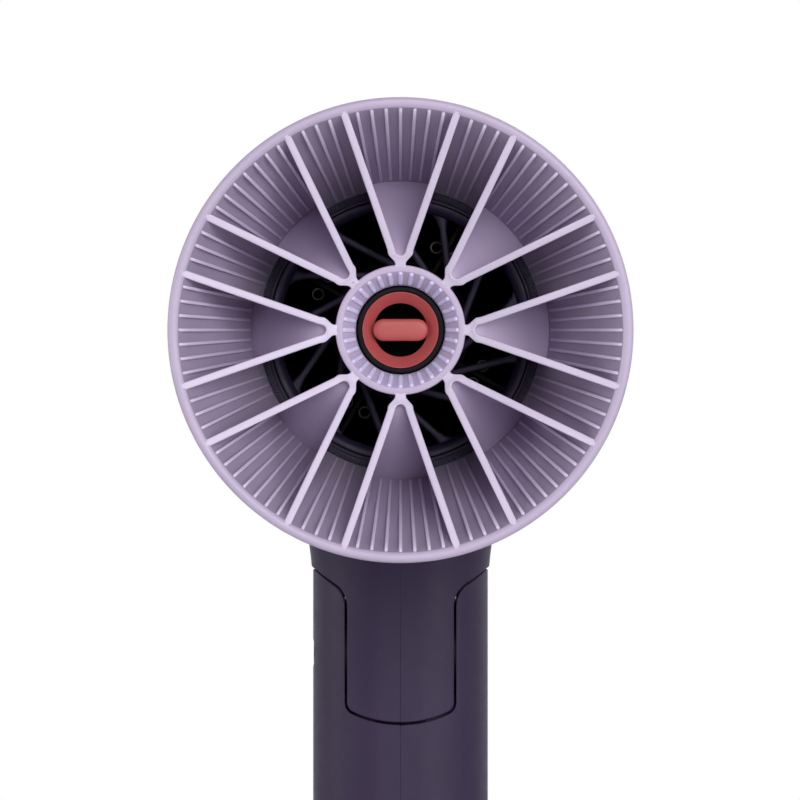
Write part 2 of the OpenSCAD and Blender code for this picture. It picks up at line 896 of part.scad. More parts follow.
module cool_button() {
    color("indianred") translate([0, 0, button_z]) rotate([-90, 0, 0]) rotate_extrude() polygon([
        [0, flange_top - button_flange[1]], [button_flange[0], flange_top - button_flange[1]],
        [button_flange[0], flange_top], [button_radius, flange_top],
        [button_radius, button_face - 0.6], [button_radius - 0.6, button_face], [0, button_face]
    ]);
}

module button_spring() {
    color("silver") translate([0, button_seat + spring_wire + seat_gap, button_z]) rotate([-90, 0, 0])
        coil(spring_turns, spring_mean, spring_pitch, spring_wire);
}

module button_switch() {
    color("black") translate([-button_block / 2, board_y[1], button_z - button_block / 2])
        cube([button_block, button_seat - board_y[1], button_block]);
}

module switch_block() {
    color("black") translate([-block_half, board_y[1], block_z[0]])
        cube([2 * block_half, stem_back - running_gap - board_y[1], block_z[1] - block_z[0]]);
}

module control_board() {
    half = side_x + side_radius - shell_wall - 0.5;
    color("seagreen") translate([-half, board_y[0], board_z[0]])
        cube([2 * half, board_y[1] - board_y[0], board_z[1] - board_z[0]]);
}

// end of the handle

module end_cap() {
    color("indigo") difference() {
        union() {
            oval(0, 0, cap_height - seat_gap);
            oval(shell_wall + seat_gap, 0, cap_height + plug_height);
            translate([0, eye_y, 0]) cylinder(r = eye_radius + eye_wall, h = eye_height);
        }
        translate([0, 0, -1]) cylinder(r = inlet_radius, h = far);
        translate([0, eye_y, -1]) cylinder(r = eye_radius, h = far);
    }
}

module cord_clamp() {
    from = cap_height + plug_height + 2;
    color("dimgray") difference() {
        intersection() {
            oval(shell_wall + seat_gap + 0.2, from, from + 3);
            translate([-far, -5, 0]) cube([2 * far, 10, far]);
        }
        cylinder(r = inlet_radius - 0.2, h = far);
    }
}

cup_shell();
petal_spider();
snap_ring();
outlet_grille();
ion_nozzle();
ion_port_dish();
ion_bridge();
ion_needle();
ion_module();
heat_shield();
heater_former();
heater_coils();
thermostat();
thermal_fuse();
motor_can();
motor_mount();
motor_shaft();
impeller();
rear_grille();
filter_mesh();
head_shell_left();
head_shell_right();
head_screws();
hinge_pin();
hinge_cap();
hinge_washers();
handle_shell_left();
handle_shell_right();
handle_screws();
switch_plate();
speed_slider();
heat_slider();
cool_button();
button_spring();
button_switch();
switch_block();
control_board();
end_cap();
cord_clamp();
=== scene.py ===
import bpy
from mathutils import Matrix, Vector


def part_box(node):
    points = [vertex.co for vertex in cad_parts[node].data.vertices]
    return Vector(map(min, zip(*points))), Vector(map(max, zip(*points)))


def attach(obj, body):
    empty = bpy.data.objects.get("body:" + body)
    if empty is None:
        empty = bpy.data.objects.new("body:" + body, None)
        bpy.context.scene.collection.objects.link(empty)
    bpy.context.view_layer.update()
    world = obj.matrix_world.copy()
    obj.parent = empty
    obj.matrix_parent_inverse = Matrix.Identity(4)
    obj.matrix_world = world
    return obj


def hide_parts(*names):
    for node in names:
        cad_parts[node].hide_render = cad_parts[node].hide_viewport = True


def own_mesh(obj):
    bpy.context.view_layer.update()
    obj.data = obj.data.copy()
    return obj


bl_info = {
    "name": "Travel Hair Dryer",
    "version": (1, 0, 0),
    "blender": (4, 5, 0),
    "location": "View3D > Sidebar > Hair Dryer",
    "description": "Dresses the packed hair dryer with its visible shapes, finishes and a studio",
    "category": "Object",
}

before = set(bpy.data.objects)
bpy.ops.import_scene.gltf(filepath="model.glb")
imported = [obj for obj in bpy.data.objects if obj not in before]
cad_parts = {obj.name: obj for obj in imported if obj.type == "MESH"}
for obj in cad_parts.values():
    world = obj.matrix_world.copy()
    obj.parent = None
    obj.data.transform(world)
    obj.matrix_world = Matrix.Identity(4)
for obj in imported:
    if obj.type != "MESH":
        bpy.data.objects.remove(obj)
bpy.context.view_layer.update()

import math

import bmesh
import bpy
from bpy.props import FloatProperty, FloatVectorProperty, IntProperty, PointerProperty
from mathutils import Vector
from mathutils.bvhtree import BVHTree

# sizes below are millimetres; a piece becomes metres when its mesh is made
MM = 0.001
CUP_LOW, CUP_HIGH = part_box("cup_shell")
AXIS_Z = (CUP_LOW[2] + CUP_HIGH[2]) / 2
THROAT_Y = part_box("snap_ring")[0][1]
RIM_RADIUS = (CUP_HIGH[0] - CUP_LOW[0]) / 2
CUP_DEPTH = THROAT_Y - CUP_LOW[1]
SPRING_LOW, SPRING_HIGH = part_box("button_spring")


def srgb(red, green, blue):
    """A colour seen on screen, 0 to 255, as the linear values that Blender keeps."""
    share = [value / 255 for value in (red, green, blue)]
    return tuple(v / 12.92 if v <= 0.04045 else ((v + 0.055) / 1.055) ** 2.4 for v in share)


def length(name, description, size):
    """A length property whose default is given in millimetres."""
    return FloatProperty(name=name, description=description, default=size * MM, min=0, unit="LENGTH")


def how_many(name, description, number):
    """A property that counts like pieces."""
    return IntProperty(name=name, description=description, default=number, min=1)


def power(name, description, watts):
    """A property for the power of a lamp."""
    return FloatProperty(name=name, description=description, default=watts, min=0, unit="POWER")


def colour(name, description, red, green, blue):
    """A colour property whose default is given as it looks on screen."""
    return FloatVectorProperty(
        name=name, description=description, subtype="COLOR", size=3, min=0, max=1,
        default=srgb(red, green, blue),
    )


class CupSizes(bpy.types.PropertyGroup):
    """Sizes of the petal cup that a user would change."""

    rim_radius: length("Rim radius", "Outer radius of the cup's lip", RIM_RADIUS / MM)
    depth: length("Depth", "From the throat to the front of the lip", CUP_DEPTH / MM)
    throat_radius: length("Throat radius", "Radius where the flared wall begins", 31.3)
    lip_width: length("Lip width", "From the rim to where the flared wall would meet the front", 2.1)
    lip_round: length("Lip rounding", "Radius of the lip's outer edge", 0.95)
    lip_sweep: length("Lip sweep", "Radius of the lip's inner edge", 1.3)
    rib_width: length("Rib width", "Width of one rib on the flared wall", 0.75)
    rib_height: length("Rib height", "How far a rib's tip stands off the flared wall", 1.3)
    rib_places: how_many("Rib places", "Places for ribs and walls", 96)
    petals: how_many("Petals", "Number of petals", 8)
    wall: length("Petal wall", "Thickness of a petal's side walls", 1.65)
    wall_edge: length("Wall edge", "Rounding of the walls' front edges", 0.4)
    hub_radius: length("Hub radius", "Outer radius of the hub", 14.3)
    hub_ribs: how_many("Hub ribs", "Ribs in the hub's funnel", 32)


class OutletSizes(bpy.types.PropertyGroup):
    """Sizes of the outlet behind the cup that a user would change."""

    knurl_ticks: how_many("Knurl ticks", "Ticks on the snap ring", 360)
    spokes: how_many("Spokes", "Spokes of the outlet grille", 13)
    spoke_width: length("Spoke width", "Width of a spoke of the outlet grille", 1.6)
    pill_length: length("Pill length", "Length of the bar across the ion port", 12.2)
    pill_width: length("Pill width", "Width of the bar across the ion port", 4.85)
    coil_turns: how_many("Coil turns", "Turns of one heater coil", 26)
    wire_radius: length("Wire radius", "Radius of the heater wire", 0.22)


class Finishes(bpy.types.PropertyGroup):
    """Colours of the finishes, as they look on screen in plain light."""

    lilac: colour("Lilac", "Satin plastic of the cup", 186, 171, 199)
    # edge paints a highlight: a lighter lilac for the walls' front faces and the ribs' tips, where they
    # catch the light
    edge: colour("Edge", "Burnished front edges of the cup's walls and ribs", 220, 208, 232)
    hub_rib: colour("Hub rib", "Cool, lit ribs of the hub", 214, 208, 244)
    dark_purple: colour("Dark purple", "Soft satin plastic of the head and handle", 48, 37, 63)
    grille_purple: colour("Grille purple", "Plastic of the outlet and inlet grilles", 44, 37, 62)
    nozzle: colour("Nozzle", "Dark plastic round the ion port", 11, 9, 17)
    coral: colour("Coral", "Satin plastic of the ion port", 176, 78, 78)
    steel: colour("Steel", "Screws, pin, shaft and motor can", 178, 178, 182)
    # the mica's tone is darkened to nearly black as painted shade for the heater deep inside the head
    mica: colour("Mica", "Dark mica of the heater former and heat shield", 26, 23, 21)
    wire: colour("Wire", "Oxidised heater wire", 74, 72, 70)
    inner: colour("Inner plastic", "Black plastic inside the dryer", 12, 11, 14)
    board: colour("Board", "Circuit board", 34, 82, 58)


class StudioSizes(bpy.types.PropertyGroup):
    """The camera and light of the studio."""

    lens: FloatProperty(name="Lens", description="Focal length of the camera", default=823, unit="CAMERA")
    distance: length("Distance", "From the camera to the rim of the cup", 4000)
    shift_x: FloatProperty(name="Shift X", description="Camera shift to the side", default=-0.0006)
    shift_y: FloatProperty(name="Shift Y", description="Camera shift up or down", default=-0.0875)
    key: power("Key", "Power of the lamp on the right", 8)
    front: power("Front", "Power of the lamp in front", 18)
    fill: power("Fill", "Power of the lamps at the sides and behind", 6)
    sky: FloatProperty(name="Sky", description="Strength of the even light all round", default=0.18)


# shapes: lists of points in millimetres and of faces

# a rib's round foot: how much of half its width is left to go, and its width there
ROUND_FOOT = ((1.0, 0.06), (0.9, 0.42), (0.6, 0.8), (0.0, 1.0))
TIP_SHARES = (0.0, 0.2, 0.4, 0.55, 0.7, 0.82, 0.92, 1.0)
THIN = 0.06
LOW_SHOULDER = 0.05
SEAM = 2e-7


class Shape:
    """Points and faces that one piece collects before it becomes a mesh."""

    def __init__(self, *parts):
        self.points = []
        self.faces = []
        for points, faces in parts:
            self.add(points, faces)

    def add(self, points, faces):
        """Takes in one more part's points and faces."""
        base = len(self.points)
        self.points.extend(points)
        self.faces.extend([tuple(base + i for i in face) for face in faces])


def head_point(x, y, d):
    """Right of, above and in front of the throat's centre, as a point of the part."""
    return (x, THROAT_Y / MM - d, AXIS_Z / MM + y)


def on_axis(x, y, d):
    """The same point, kept beside the air's axis so that it can be turned round it."""
    return (x, THROAT_Y / MM - d, y)


def rounded(corners, steps=6):
    """A closed outline from (a, b, radius) corners, each with a radius turned into an arc."""
    outline = []
    for i, (a, b, radius) in enumerate(corners):
        here = Vector((a, b))
        if radius <= 0:
            outline.append((a, b))
            continue
        back = (Vector(corners[i - 1][:2]) - here).normalized()
        ahead = (Vector(corners[(i + 1) % len(corners)][:2]) - here).normalized()
        half = back.angle(ahead) / 2
        centre = here + (back + ahead).normalized() * (radius / math.sin(half))
        start = here + back * (radius / math.tan(half)) - centre
        end = here + ahead * (radius / math.tan(half)) - centre
        first = math.atan2(start.y, start.x)
        turn = math.atan2(end.y, end.x) - first
        turn = (turn + math.pi) % (2 * math.pi) - math.pi
        for k in range(steps + 1):
            angle = first + turn * k / steps
            outline.append((centre.x + radius * math.cos(angle), centre.y + radius * math.sin(angle)))
    return outline


def loft(sections, caps=True):
    """Faces between sections that are closed rings of as many points each."""
    count = len(sections[0])
    points = [p for section in sections for p in section]
    faces = []
    for k in range(len(sections) - 1):
        for i in range(count):
            a = k * count + i
            b = k * count + (i + 1) % count
            faces.append((a, b, b + count, a + count))
    if caps:
        faces.append(tuple(range(count)))
        last = (len(sections) - 1) * count
        faces.append(tuple(range(last, last + count)))
    return points, faces


def revolved(corners, steps, arc=6):
    """An outline of (r, d, radius) corners, rounded and turned round the air's axis."""
    profile = rounded(corners, arc)
    sections = []
    for k in range(steps + 1):
        angle = 2 * math.pi * k / steps
        sections.append([head_point(r * math.cos(angle), r * math.sin(angle), d) for r, d in profile])
    return loft(sections, caps=False)


def bar(foot, tip, width, heights, sink, round_foot, sides=4, tip_round=0.0):
    """A rib from foot to tip, both (r, d), with a rounded top and ends, beside the axis.

    Its height runs from the first of heights at the foot to the second at the tip, and falls
    to nothing over tip_round.
    """
    start = Vector(foot)
    run = Vector(tip) - start
    reach = run.length
    run.normalize()
    up = Vector((-run.y, run.x))
    half = width / 2
    stations = [(0, 1.0)]
    if round_foot:
        stations = [(half * (1 - share), scale) for share, scale in ROUND_FOOT]
    fall = max(tip_round, half)
    for share in TIP_SHARES:
        narrow = math.sqrt(max(THIN ** 2, 1 - max(0.0, 1 - (1 - share) * fall / half) ** 2))
        stations.append((reach - fall * (1 - share), narrow))
    sections = []
    for along, scale in stations:
        middle = start + run * along
        height = heights[0] + (heights[1] - heights[0]) * along / reach
        past = max(0.0, 1 - (reach - along) / fall)
        height = max(height * math.sqrt(1 - past ** 2), THIN)
        shoulder = max(height - half, LOW_SHOULDER)
        outline = [(-half, -sink)]
        for i in range(sides + 1):
            angle = math.pi * (1 - i / sides)
            rise = shoulder + (height - shoulder) * math.sin(angle)
            outline.append((half * math.cos(angle), rise))
        outline.append((half, -sink))
        ring = []
        for across, rise in outline:
            p = middle + up * rise
            ring.append(on_axis(p.x, across * scale, p.y))
        sections.append(ring)
    return loft(sections)


def add_object(name, data):
    """A new object at the origin, in the scene."""
    item = bpy.data.objects.new(name, data)
    bpy.context.scene.collection.objects.link(item)
    return item


def make_piece(name, shape, finish, crease=35):
    """A finished piece at the origin, with closed seams, outward faces and a crease angle."""
    mesh = bpy.data.meshes.new(name)
    mesh.from_pydata([tuple(c * MM for c in p) for p in shape.points], [], shape.faces)
    body = bmesh.new()
    body.from_mesh(mesh)
    bmesh.ops.remove_doubles(body, verts=body.verts, dist=SEAM)
    bmesh.ops.delete(body, geom=[edge for edge in body.edges if not edge.link_faces], context="EDGES")
    bmesh.ops.recalc_face_normals(body, faces=body.faces)
    body.to_mesh(mesh)
    body.free()
    finish_mesh(mesh, finish, crease)
    return add_object(name, mesh)


def finish_mesh(mesh, finish, crease):
    """Smooth shading up to a crease angle, and one material."""
    mesh.materials.clear()
    mesh.materials.append(bpy.data.materials[finish])
    mesh.shade_smooth()
    mesh.set_sharp_from_angle(angle=math.radians(crease))


def second_finish(piece, finish, chosen):
    """Another material on the faces of a piece that are chosen."""
    piece.data.materials.append(bpy.data.materials[finish])
    for face in piece.data.polygons:
        if chosen(face):
            face.material_index = 1


def settle(piece, body, slot, *nodes):
    """Attaches a piece to the empty of the body it moves with, and hides the CAD solids it stands for; its
    finish's slot is not used.
    """
    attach(piece, body)
    if nodes:
        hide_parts(*nodes)
    return piece


def joined(name, pieces):
    """Several meshes as one object, with the materials they have."""
    shape = bmesh.new()
    materials = []
    for piece in pieces:
        start = len(shape.faces)
        shape.from_mesh(piece.data)
        shape.faces.ensure_lookup_table()
        for finish in piece.data.materials:
            if finish not in materials:
                materials.append(finish)
        for face in shape.faces[start:]:
            face.material_index = materials.index(piece.data.materials[face.material_index])
    mesh = bpy.data.meshes.new(name)
    shape.to_mesh(mesh)
    shape.free()
    for finish in materials:
        mesh.materials.append(finish)
    whole = add_object(name, mesh)
    for piece in pieces:
        bpy.data.objects.remove(piece)
    return whole


def plain_mesh(piece):
    """The piece as it is after its modifiers, as a plain mesh with none left."""
    bpy.context.view_layer.update()
    graph = bpy.context.evaluated_depsgraph_get()
    mesh = bpy.data.meshes.new_from_object(piece.evaluated_get(graph))
    piece.modifiers.clear()
    piece.data = mesh
    return piece


# CAD solids, shown with rounded edges or as they are

SHELLS = ("head_shell_left", "head_shell_right", "handle_shell_left", "handle_shell_right")
EDGE_ANGLE = 30
SAME_POINT = 1e-6
# what a shell's small facets are merged and flattened by, in millimetres and degrees
SHELL_MERGE = 0.15
SHELL_FLAT = 1.0
PIECE_FLAT = 0.3
SHELL_EDGE = 0.26
PARTING_SHARE = 0.2
PROBE = 0.2


def mark_outer_edges(body):
    """Gives a bevel weight to the sharp outward edges that nothing of the shells covers.

    The line where the left and right halves meet gets little.
    """
    shells = bmesh.new()
    for node in SHELLS:
        shells.from_mesh(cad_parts[node].data)
    cover = BVHTree.FromBMesh(shells)
    shells.free()
    weight = body.edges.layers.float.new("bevel_weight_edge")
    step = PROBE * MM
    for edge in body.edges:
        if edge.calc_face_angle_signed(0) < math.radians(EDGE_ANGLE):
            continue
        first, last = (v.co for v in edge.verts)
        for face in edge.link_faces:
            middle = (first + last) / 2
            inward = face.normal.cross((last - first).normalized())
            if inward.dot(face.calc_center_median() - middle) < 0:
                inward.negate()
            if cover.ray_cast(middle + (face.normal + inward) * step, face.normal, 1.0)[0] is None:
                edge[weight] = PARTING_SHARE if abs(middle.x) < step else 1.0


def soften(node, body, slot, finish, width, segments=2):
    """Replaces a CAD solid by a copy with rounded edges; of a shell, only the outer edges are."""
    shell = node in SHELLS
    name = node + "_detail"
    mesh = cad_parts[node].data.copy()
    mesh.name = name
    solid = bmesh.new()
    solid.from_mesh(mesh)
    bmesh.ops.remove_doubles(solid, verts=solid.verts, dist=SAME_POINT)
    if shell:
        bmesh.ops.remove_doubles(solid, verts=solid.verts, dist=SHELL_MERGE * MM)
    flat = math.radians(SHELL_FLAT if shell else PIECE_FLAT)
    bmesh.ops.dissolve_limit(solid, angle_limit=flat, verts=solid.verts, edges=solid.edges)
    if shell:
        mark_outer_edges(solid)
    solid.to_mesh(mesh)
    solid.free()
    finish_mesh(mesh, finish, EDGE_ANGLE)
    piece = add_object(name, mesh)
    edge = piece.modifiers.new("rounded_edges", "BEVEL")
    edge.width = width * MM
    edge.segments = segments
    edge.limit_method = "WEIGHT" if shell else "ANGLE"
    edge.angle_limit = math.radians(EDGE_ANGLE)
    edge.use_clamp_overlap = not shell
    edge.loop_slide = not shell
    edge.harden_normals = True
    settle(plain_mesh(piece), body, slot, node)


def soften_shells(body):
    """Replaces both halves of the head's or the handle's shell."""
    for side in ("left", "right"):
        soften(body + "_shell_" + side, body, "dark_purple", "dark_plastic", SHELL_EDGE, segments=3)


def dress(finish, *names):
    """Gives a finish to CAD solids that are shown as they are."""
    for node in names:
        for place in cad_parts[node].material_slots:
            place.material = bpy.data.materials[finish]


# nodes, for Geometry Nodes and for materials


def feed(tree, node, inputs):
    """Links each named input of a node to a socket, or sets it to a value."""
    for name, value in inputs.items():
        if isinstance(value, bpy.types.NodeSocket):
            tree.links.new(value, node.inputs[name])
        else:
            node.inputs[name].default_value = value


def add_node(tree, kind, inputs, **settings):
    """The outputs of a new node, with its settings and what goes into its inputs."""
    node = tree.nodes.new(kind)
    for name, value in settings.items():
        setattr(node, name, value)
    feed(tree, node, inputs)
    return node.outputs


def new_tree(name, inputs):
    """An empty Geometry Nodes tree, and the sockets of its named inputs."""
    tree = bpy.data.node_groups.new(name, "GeometryNodeTree")
    tree.interface.new_socket("Geometry", in_out="OUTPUT", socket_type="NodeSocketGeometry")
    for label, kind in inputs.items():
        tree.interface.new_socket(label, in_out="INPUT", socket_type="NodeSocket" + kind)
    return tree, tree.nodes.new("NodeGroupInput").outputs


def end_tree(tree, copies, finish):
    """Ends a tree with real meshes in one finish."""
    real = add_node(tree, "GeometryNodeRealizeInstances", {0: copies})
    painted = add_node(tree, "GeometryNodeSetMaterial", {"Geometry": real[0], "Material": finish})
    add_node(tree, "NodeGroupOutput", {0: painted[0]})
    return tree


def axis_tree():
    """Turns a bar round the axis at equal steps, in some of the places of each period."""
    tree, given = new_tree("round_the_axis", {
        "Bar": "Object", "Places": "Int", "Step": "Float", "First": "Float", "Period": "Int",
        "From": "Int", "To": "Int", "Height": "Float", "Finish": "Material",
    })
    points = add_node(tree, "GeometryNodePoints", {"Count": given["Places"]})
    index = add_node(tree, "GeometryNodeInputIndex", {})[0]
    place = add_node(
        tree, "FunctionNodeIntegerMath", {0: index, 1: given["Period"]}, operation="MODULO")[0]
    after, before = (
        add_node(tree, "FunctionNodeCompare", {"A": place, "B": given[limit]},
                 data_type="INT", operation=test)[0]
        for limit, test in (("From", "GREATER_EQUAL"), ("To", "LESS_EQUAL"))
    )
    chosen = add_node(tree, "FunctionNodeBooleanMath", {0: after, 1: before}, operation="AND")
    turn = add_node(tree, "ShaderNodeMath", {0: index, 1: given["Step"], 2: given["First"]},
                    operation="MULTIPLY_ADD")
    angles = add_node(tree, "ShaderNodeCombineXYZ", {"Y": turn[0]})
    pattern = add_node(tree, "GeometryNodeObjectInfo", {"Object": given["Bar"]})
    copies = add_node(tree, "GeometryNodeInstanceOnPoints", {
        "Points": points[0], "Selection": chosen[0], "Instance": pattern["Geometry"],
        "Rotation": angles[0],
    })
    lift = add_node(tree, "ShaderNodeCombineXYZ", {"Z": given["Height"]})
    raised = add_node(tree, "GeometryNodeTransform", {"Geometry": copies[0], "Translation": lift[0]})
    return end_tree(tree, raised[0], given["Finish"])


def screws_tree():
    """Puts a screw at every point that it is given."""
    tree, given = new_tree(
        "screws_at_places", {"Places": "Geometry", "Screw": "Object", "Finish": "Material"})
    pattern = add_node(tree, "GeometryNodeObjectInfo", {"Object": given["Screw"]})
    copies = add_node(tree, "GeometryNodeInstanceOnPoints", {
        "Points": given["Places"], "Instance": pattern["Geometry"],
    })
    return end_tree(tree, copies[0], given["Finish"])


def run_tree(piece, tree, values):
    """Runs a tree with its inputs set, and leaves the piece as a plain mesh."""
    row = piece.modifiers.new(tree.name, "NODES")
    row.node_group = tree
    for item in tree.interface.items_tree:
        if item.in_out == "INPUT" and item.name in values:
            row[item.identifier] = values[item.name]
    return plain_mesh(piece)


def round_the_axis(name, shape, finish, places, first=0.0, period=1, start=0, end=0):
    """A bar's shape, made once beside the axis and repeated round it, as one plain mesh.

    In each period of places, only those from start to end get a bar.
    """
    pattern = make_piece(name + "_bar", shape, finish)
    piece = add_object(name, bpy.data.meshes.new(name))
    run_tree(piece, bpy.data.node_groups.get("round_the_axis") or axis_tree(), {
        "Bar": pattern, "Places": places, "Step": 2 * math.pi / places, "First": first,
        "Period": period, "From": start, "To": end, "Height": AXIS_Z,
        "Finish": bpy.data.materials[finish],
    })
    bpy.data.objects.remove(pattern)
    return piece


# screws

SCREW_HEAD = 1.3
SCREW_RADIUS = 2.2
SCREW_PROFILE = (
    (-21, 0.5), (-20, 1.1), (0, 1.1), (0, SCREW_RADIUS), (0.75, SCREW_RADIUS), (1.05, 2.08),
    (1.25, 1.8), (SCREW_HEAD, 1.5),
)
CROSS_ARM = 1.2
CROSS_HALF = 0.3
CROSS_DEPTH = 0.75
CROSS_TAPER = 0.75
CROSS_SLACK = 1e-6
SEAT_REACH = 2.5


def cross_screw():
    """A pan-head screw along X with its seat at the origin and a cross recess."""
    corner = math.atan2(CROSS_HALF, CROSS_ARM)
    quarter = math.pi / 2
    angles = []
    for k in range(4):
        for angle in (-corner, 0, corner, 0.4, 0.6, quarter / 2, quarter - 0.6, quarter - 0.4):
            angles.append(k * quarter + angle)

    def cross(angle):
        """The recess's reach in a direction."""
        across = min(abs(math.cos(angle)), abs(math.sin(angle)))
        along = max(abs(math.cos(angle)), abs(math.sin(angle)))
        in_arm = across / along <= CROSS_HALF / CROSS_ARM + CROSS_SLACK
        return CROSS_ARM / along if in_arm else CROSS_HALF / across

    sections = [[(x, r * math.cos(a), r * math.sin(a)) for a in angles] for x, r in SCREW_PROFILE]
    for x, scale in ((SCREW_HEAD, 1.0), (SCREW_HEAD - CROSS_DEPTH, CROSS_TAPER)):
        sections.append([
            (x, scale * cross(a) * math.cos(a), scale * cross(a) * math.sin(a)) for a in angles
        ])
    return Shape(loft(sections))


def screws(node, body, lower_at_back):
    """Replaces a CAD solid's two screws, each on the seat that the solid gives it."""
    low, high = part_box(node)
    inset = SCREW_RADIUS * MM
    front = low[1] + inset
    lower = high[1] - inset if lower_at_back else front
    solid = [v.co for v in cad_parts[node].data.vertices]
    seats = []
    for y, z in ((lower, low[2] + inset), (front, high[2] - inset)):
        face = max(v.x for v in solid if math.hypot(v.y - y, v.z - z) < SEAT_REACH * MM)
        seats.append((face - SCREW_HEAD * MM, y, z))
    pattern = make_piece("screw", cross_screw(), "screw_steel", 40)
    mesh = bpy.data.meshes.new(node + "_detail")
    mesh.from_pydata(seats, [], [])
    piece = add_object(node + "_detail", mesh)
    run_tree(piece, bpy.data.node_groups.get("screws_at_places") or screws_tree(), {
        "Screw": pattern, "Finish": bpy.data.materials["screw_steel"],
    })
    bpy.data.objects.remove(pattern)
    settle(piece, body, "steel", node)


# finishes

CLOUD_SCALE = 90
GLOSS_SCALE = 420
GRAIN_DEPTH = 0.03


def new_finish(name):
    """A new material, its tree, its shader and the part's own coordinates."""
    if name in bpy.data.materials:
        raise RuntimeError("the finish's name is taken: " + name)
    finish = bpy.data.materials.new(name)
    finish.use_nodes = True
    tree = finish.node_tree
    place = add_node(tree, "ShaderNodeTexCoord", {})["Object"]
    return finish, tree, tree.nodes["Principled BSDF"], place


def noise(tree, place, scale, detail, roughness=0.5):
    """A noise pattern in the part's own coordinates; scale is in repeats per metre."""
    return add_node(tree, "ShaderNodeTexNoise", {
        "Vector": place, "Scale": scale, "Detail": detail, "Roughness": roughness,
    })["Fac"]


def between(tree, value, low, high, first=0.3, last=0.7):
    """A pattern's run from first to last, spread over a range of values."""
    return add_node(tree, "ShaderNodeMapRange", {
        "Value": value, "From Min": first, "From Max": last, "To Min": low, "To Max": high,
    })["Result"]


def blend(tree, share, start, end):
    """A colour on the way from one tone to another."""
    return add_node(tree, "ShaderNodeMix", {
        "Factor": share, "A": (*start, 1), "B": (*end, 1),
    }, data_type="RGBA")["Result"]


def two_tone(tree, value, dark, light):
    """A colour that drifts between two tones with a pattern."""
    return blend(tree, between(tree, value, 0, 1), dark, light)


def shade(tone, share):
    """A tone made darker or lighter."""
    return tuple(min(1.0, c * share) for c in tone)


def bump(tree, value, strength, depth):
    """Fine relief from a pattern; depth is in millimetres."""
    return add_node(tree, "ShaderNodeBump", {
        "Height": value, "Strength": strength, "Distance": depth * MM,
    })["Normal"]


def moulded_plastic(name, tone, low, high, grain, relief, drift, specular):
    """Moulded plastic: a faint drift of colour, a fine spark-eroded grain and uneven gloss."""
    _, tree, shader, place = new_finish(name)
    cloud = noise(tree, place, CLOUD_SCALE, 4)
    feed(tree, shader, {
        "Base Color": two_tone(tree, cloud, shade(tone, 1 - drift), shade(tone, 1 + drift)),
        "Roughness": between(tree, noise(tree, place, GLOSS_SCALE, 3), low, high),
        "Normal": bump(tree, noise(tree, place, grain, 2), relief, GRAIN_DEPTH),
        "Specular IOR Level": specular,
    })


def rib_painted_highlight(name, foot, tip, foot_y, tip_y):
    """The cup's plastic, painted lighter from a rib's foot to its tip: a painted highlight for the light
    the ribs catch nearer the lip.
    """
    _, tree, shader, place = new_finish(name)
    along = add_node(tree, "ShaderNodeSeparateXYZ", {0: place})["Y"]
    feed(tree, shader, {
        "Base Color": blend(tree, between(tree, along, 0, 1, foot_y, tip_y), foot, tip),
        "Roughness": between(tree, noise(tree, place, GLOSS_SCALE, 3), 0.34, 0.44),
        "Normal": bump(tree, noise(tree, place, 2600, 2), 0.08, GRAIN_DEPTH),
    })


def bare_metal(name, tone, low, high, grain):
    """Drawn or turned metal with fine marks."""
    _, tree, shader, place = new_finish(name)
    marks = noise(tree, place, grain, 5, 0.6)
    feed(tree, shader, {
        "Base Color": two_tone(tree, marks, shade(tone, 0.8), shade(tone, 1.1)),
        "Roughness": between(tree, marks, low, high),
        "Normal": bump(tree, marks, 0.15, 0.02),
        "Metallic": 1,
    })


def mica_sheet(name, tone):
    """Mica board: flakes of uneven tone with a dull gloss."""
    _, tree, shader, place = new_finish(name)
    flakes = add_node(tree, "ShaderNodeTexVoronoi", {"Vector": place, "Scale": 900})["Distance"]
    feed(tree, shader, {
        "Base Color": two_tone(tree, flakes, shade(tone, 0.7), shade(tone, 1.15)),
        "Roughness": between(tree, flakes, 0.55, 0.75),
        "Normal": bump(tree, flakes, 0.2, GRAIN_DEPTH),
        "Specular IOR Level": 0.12,
    })


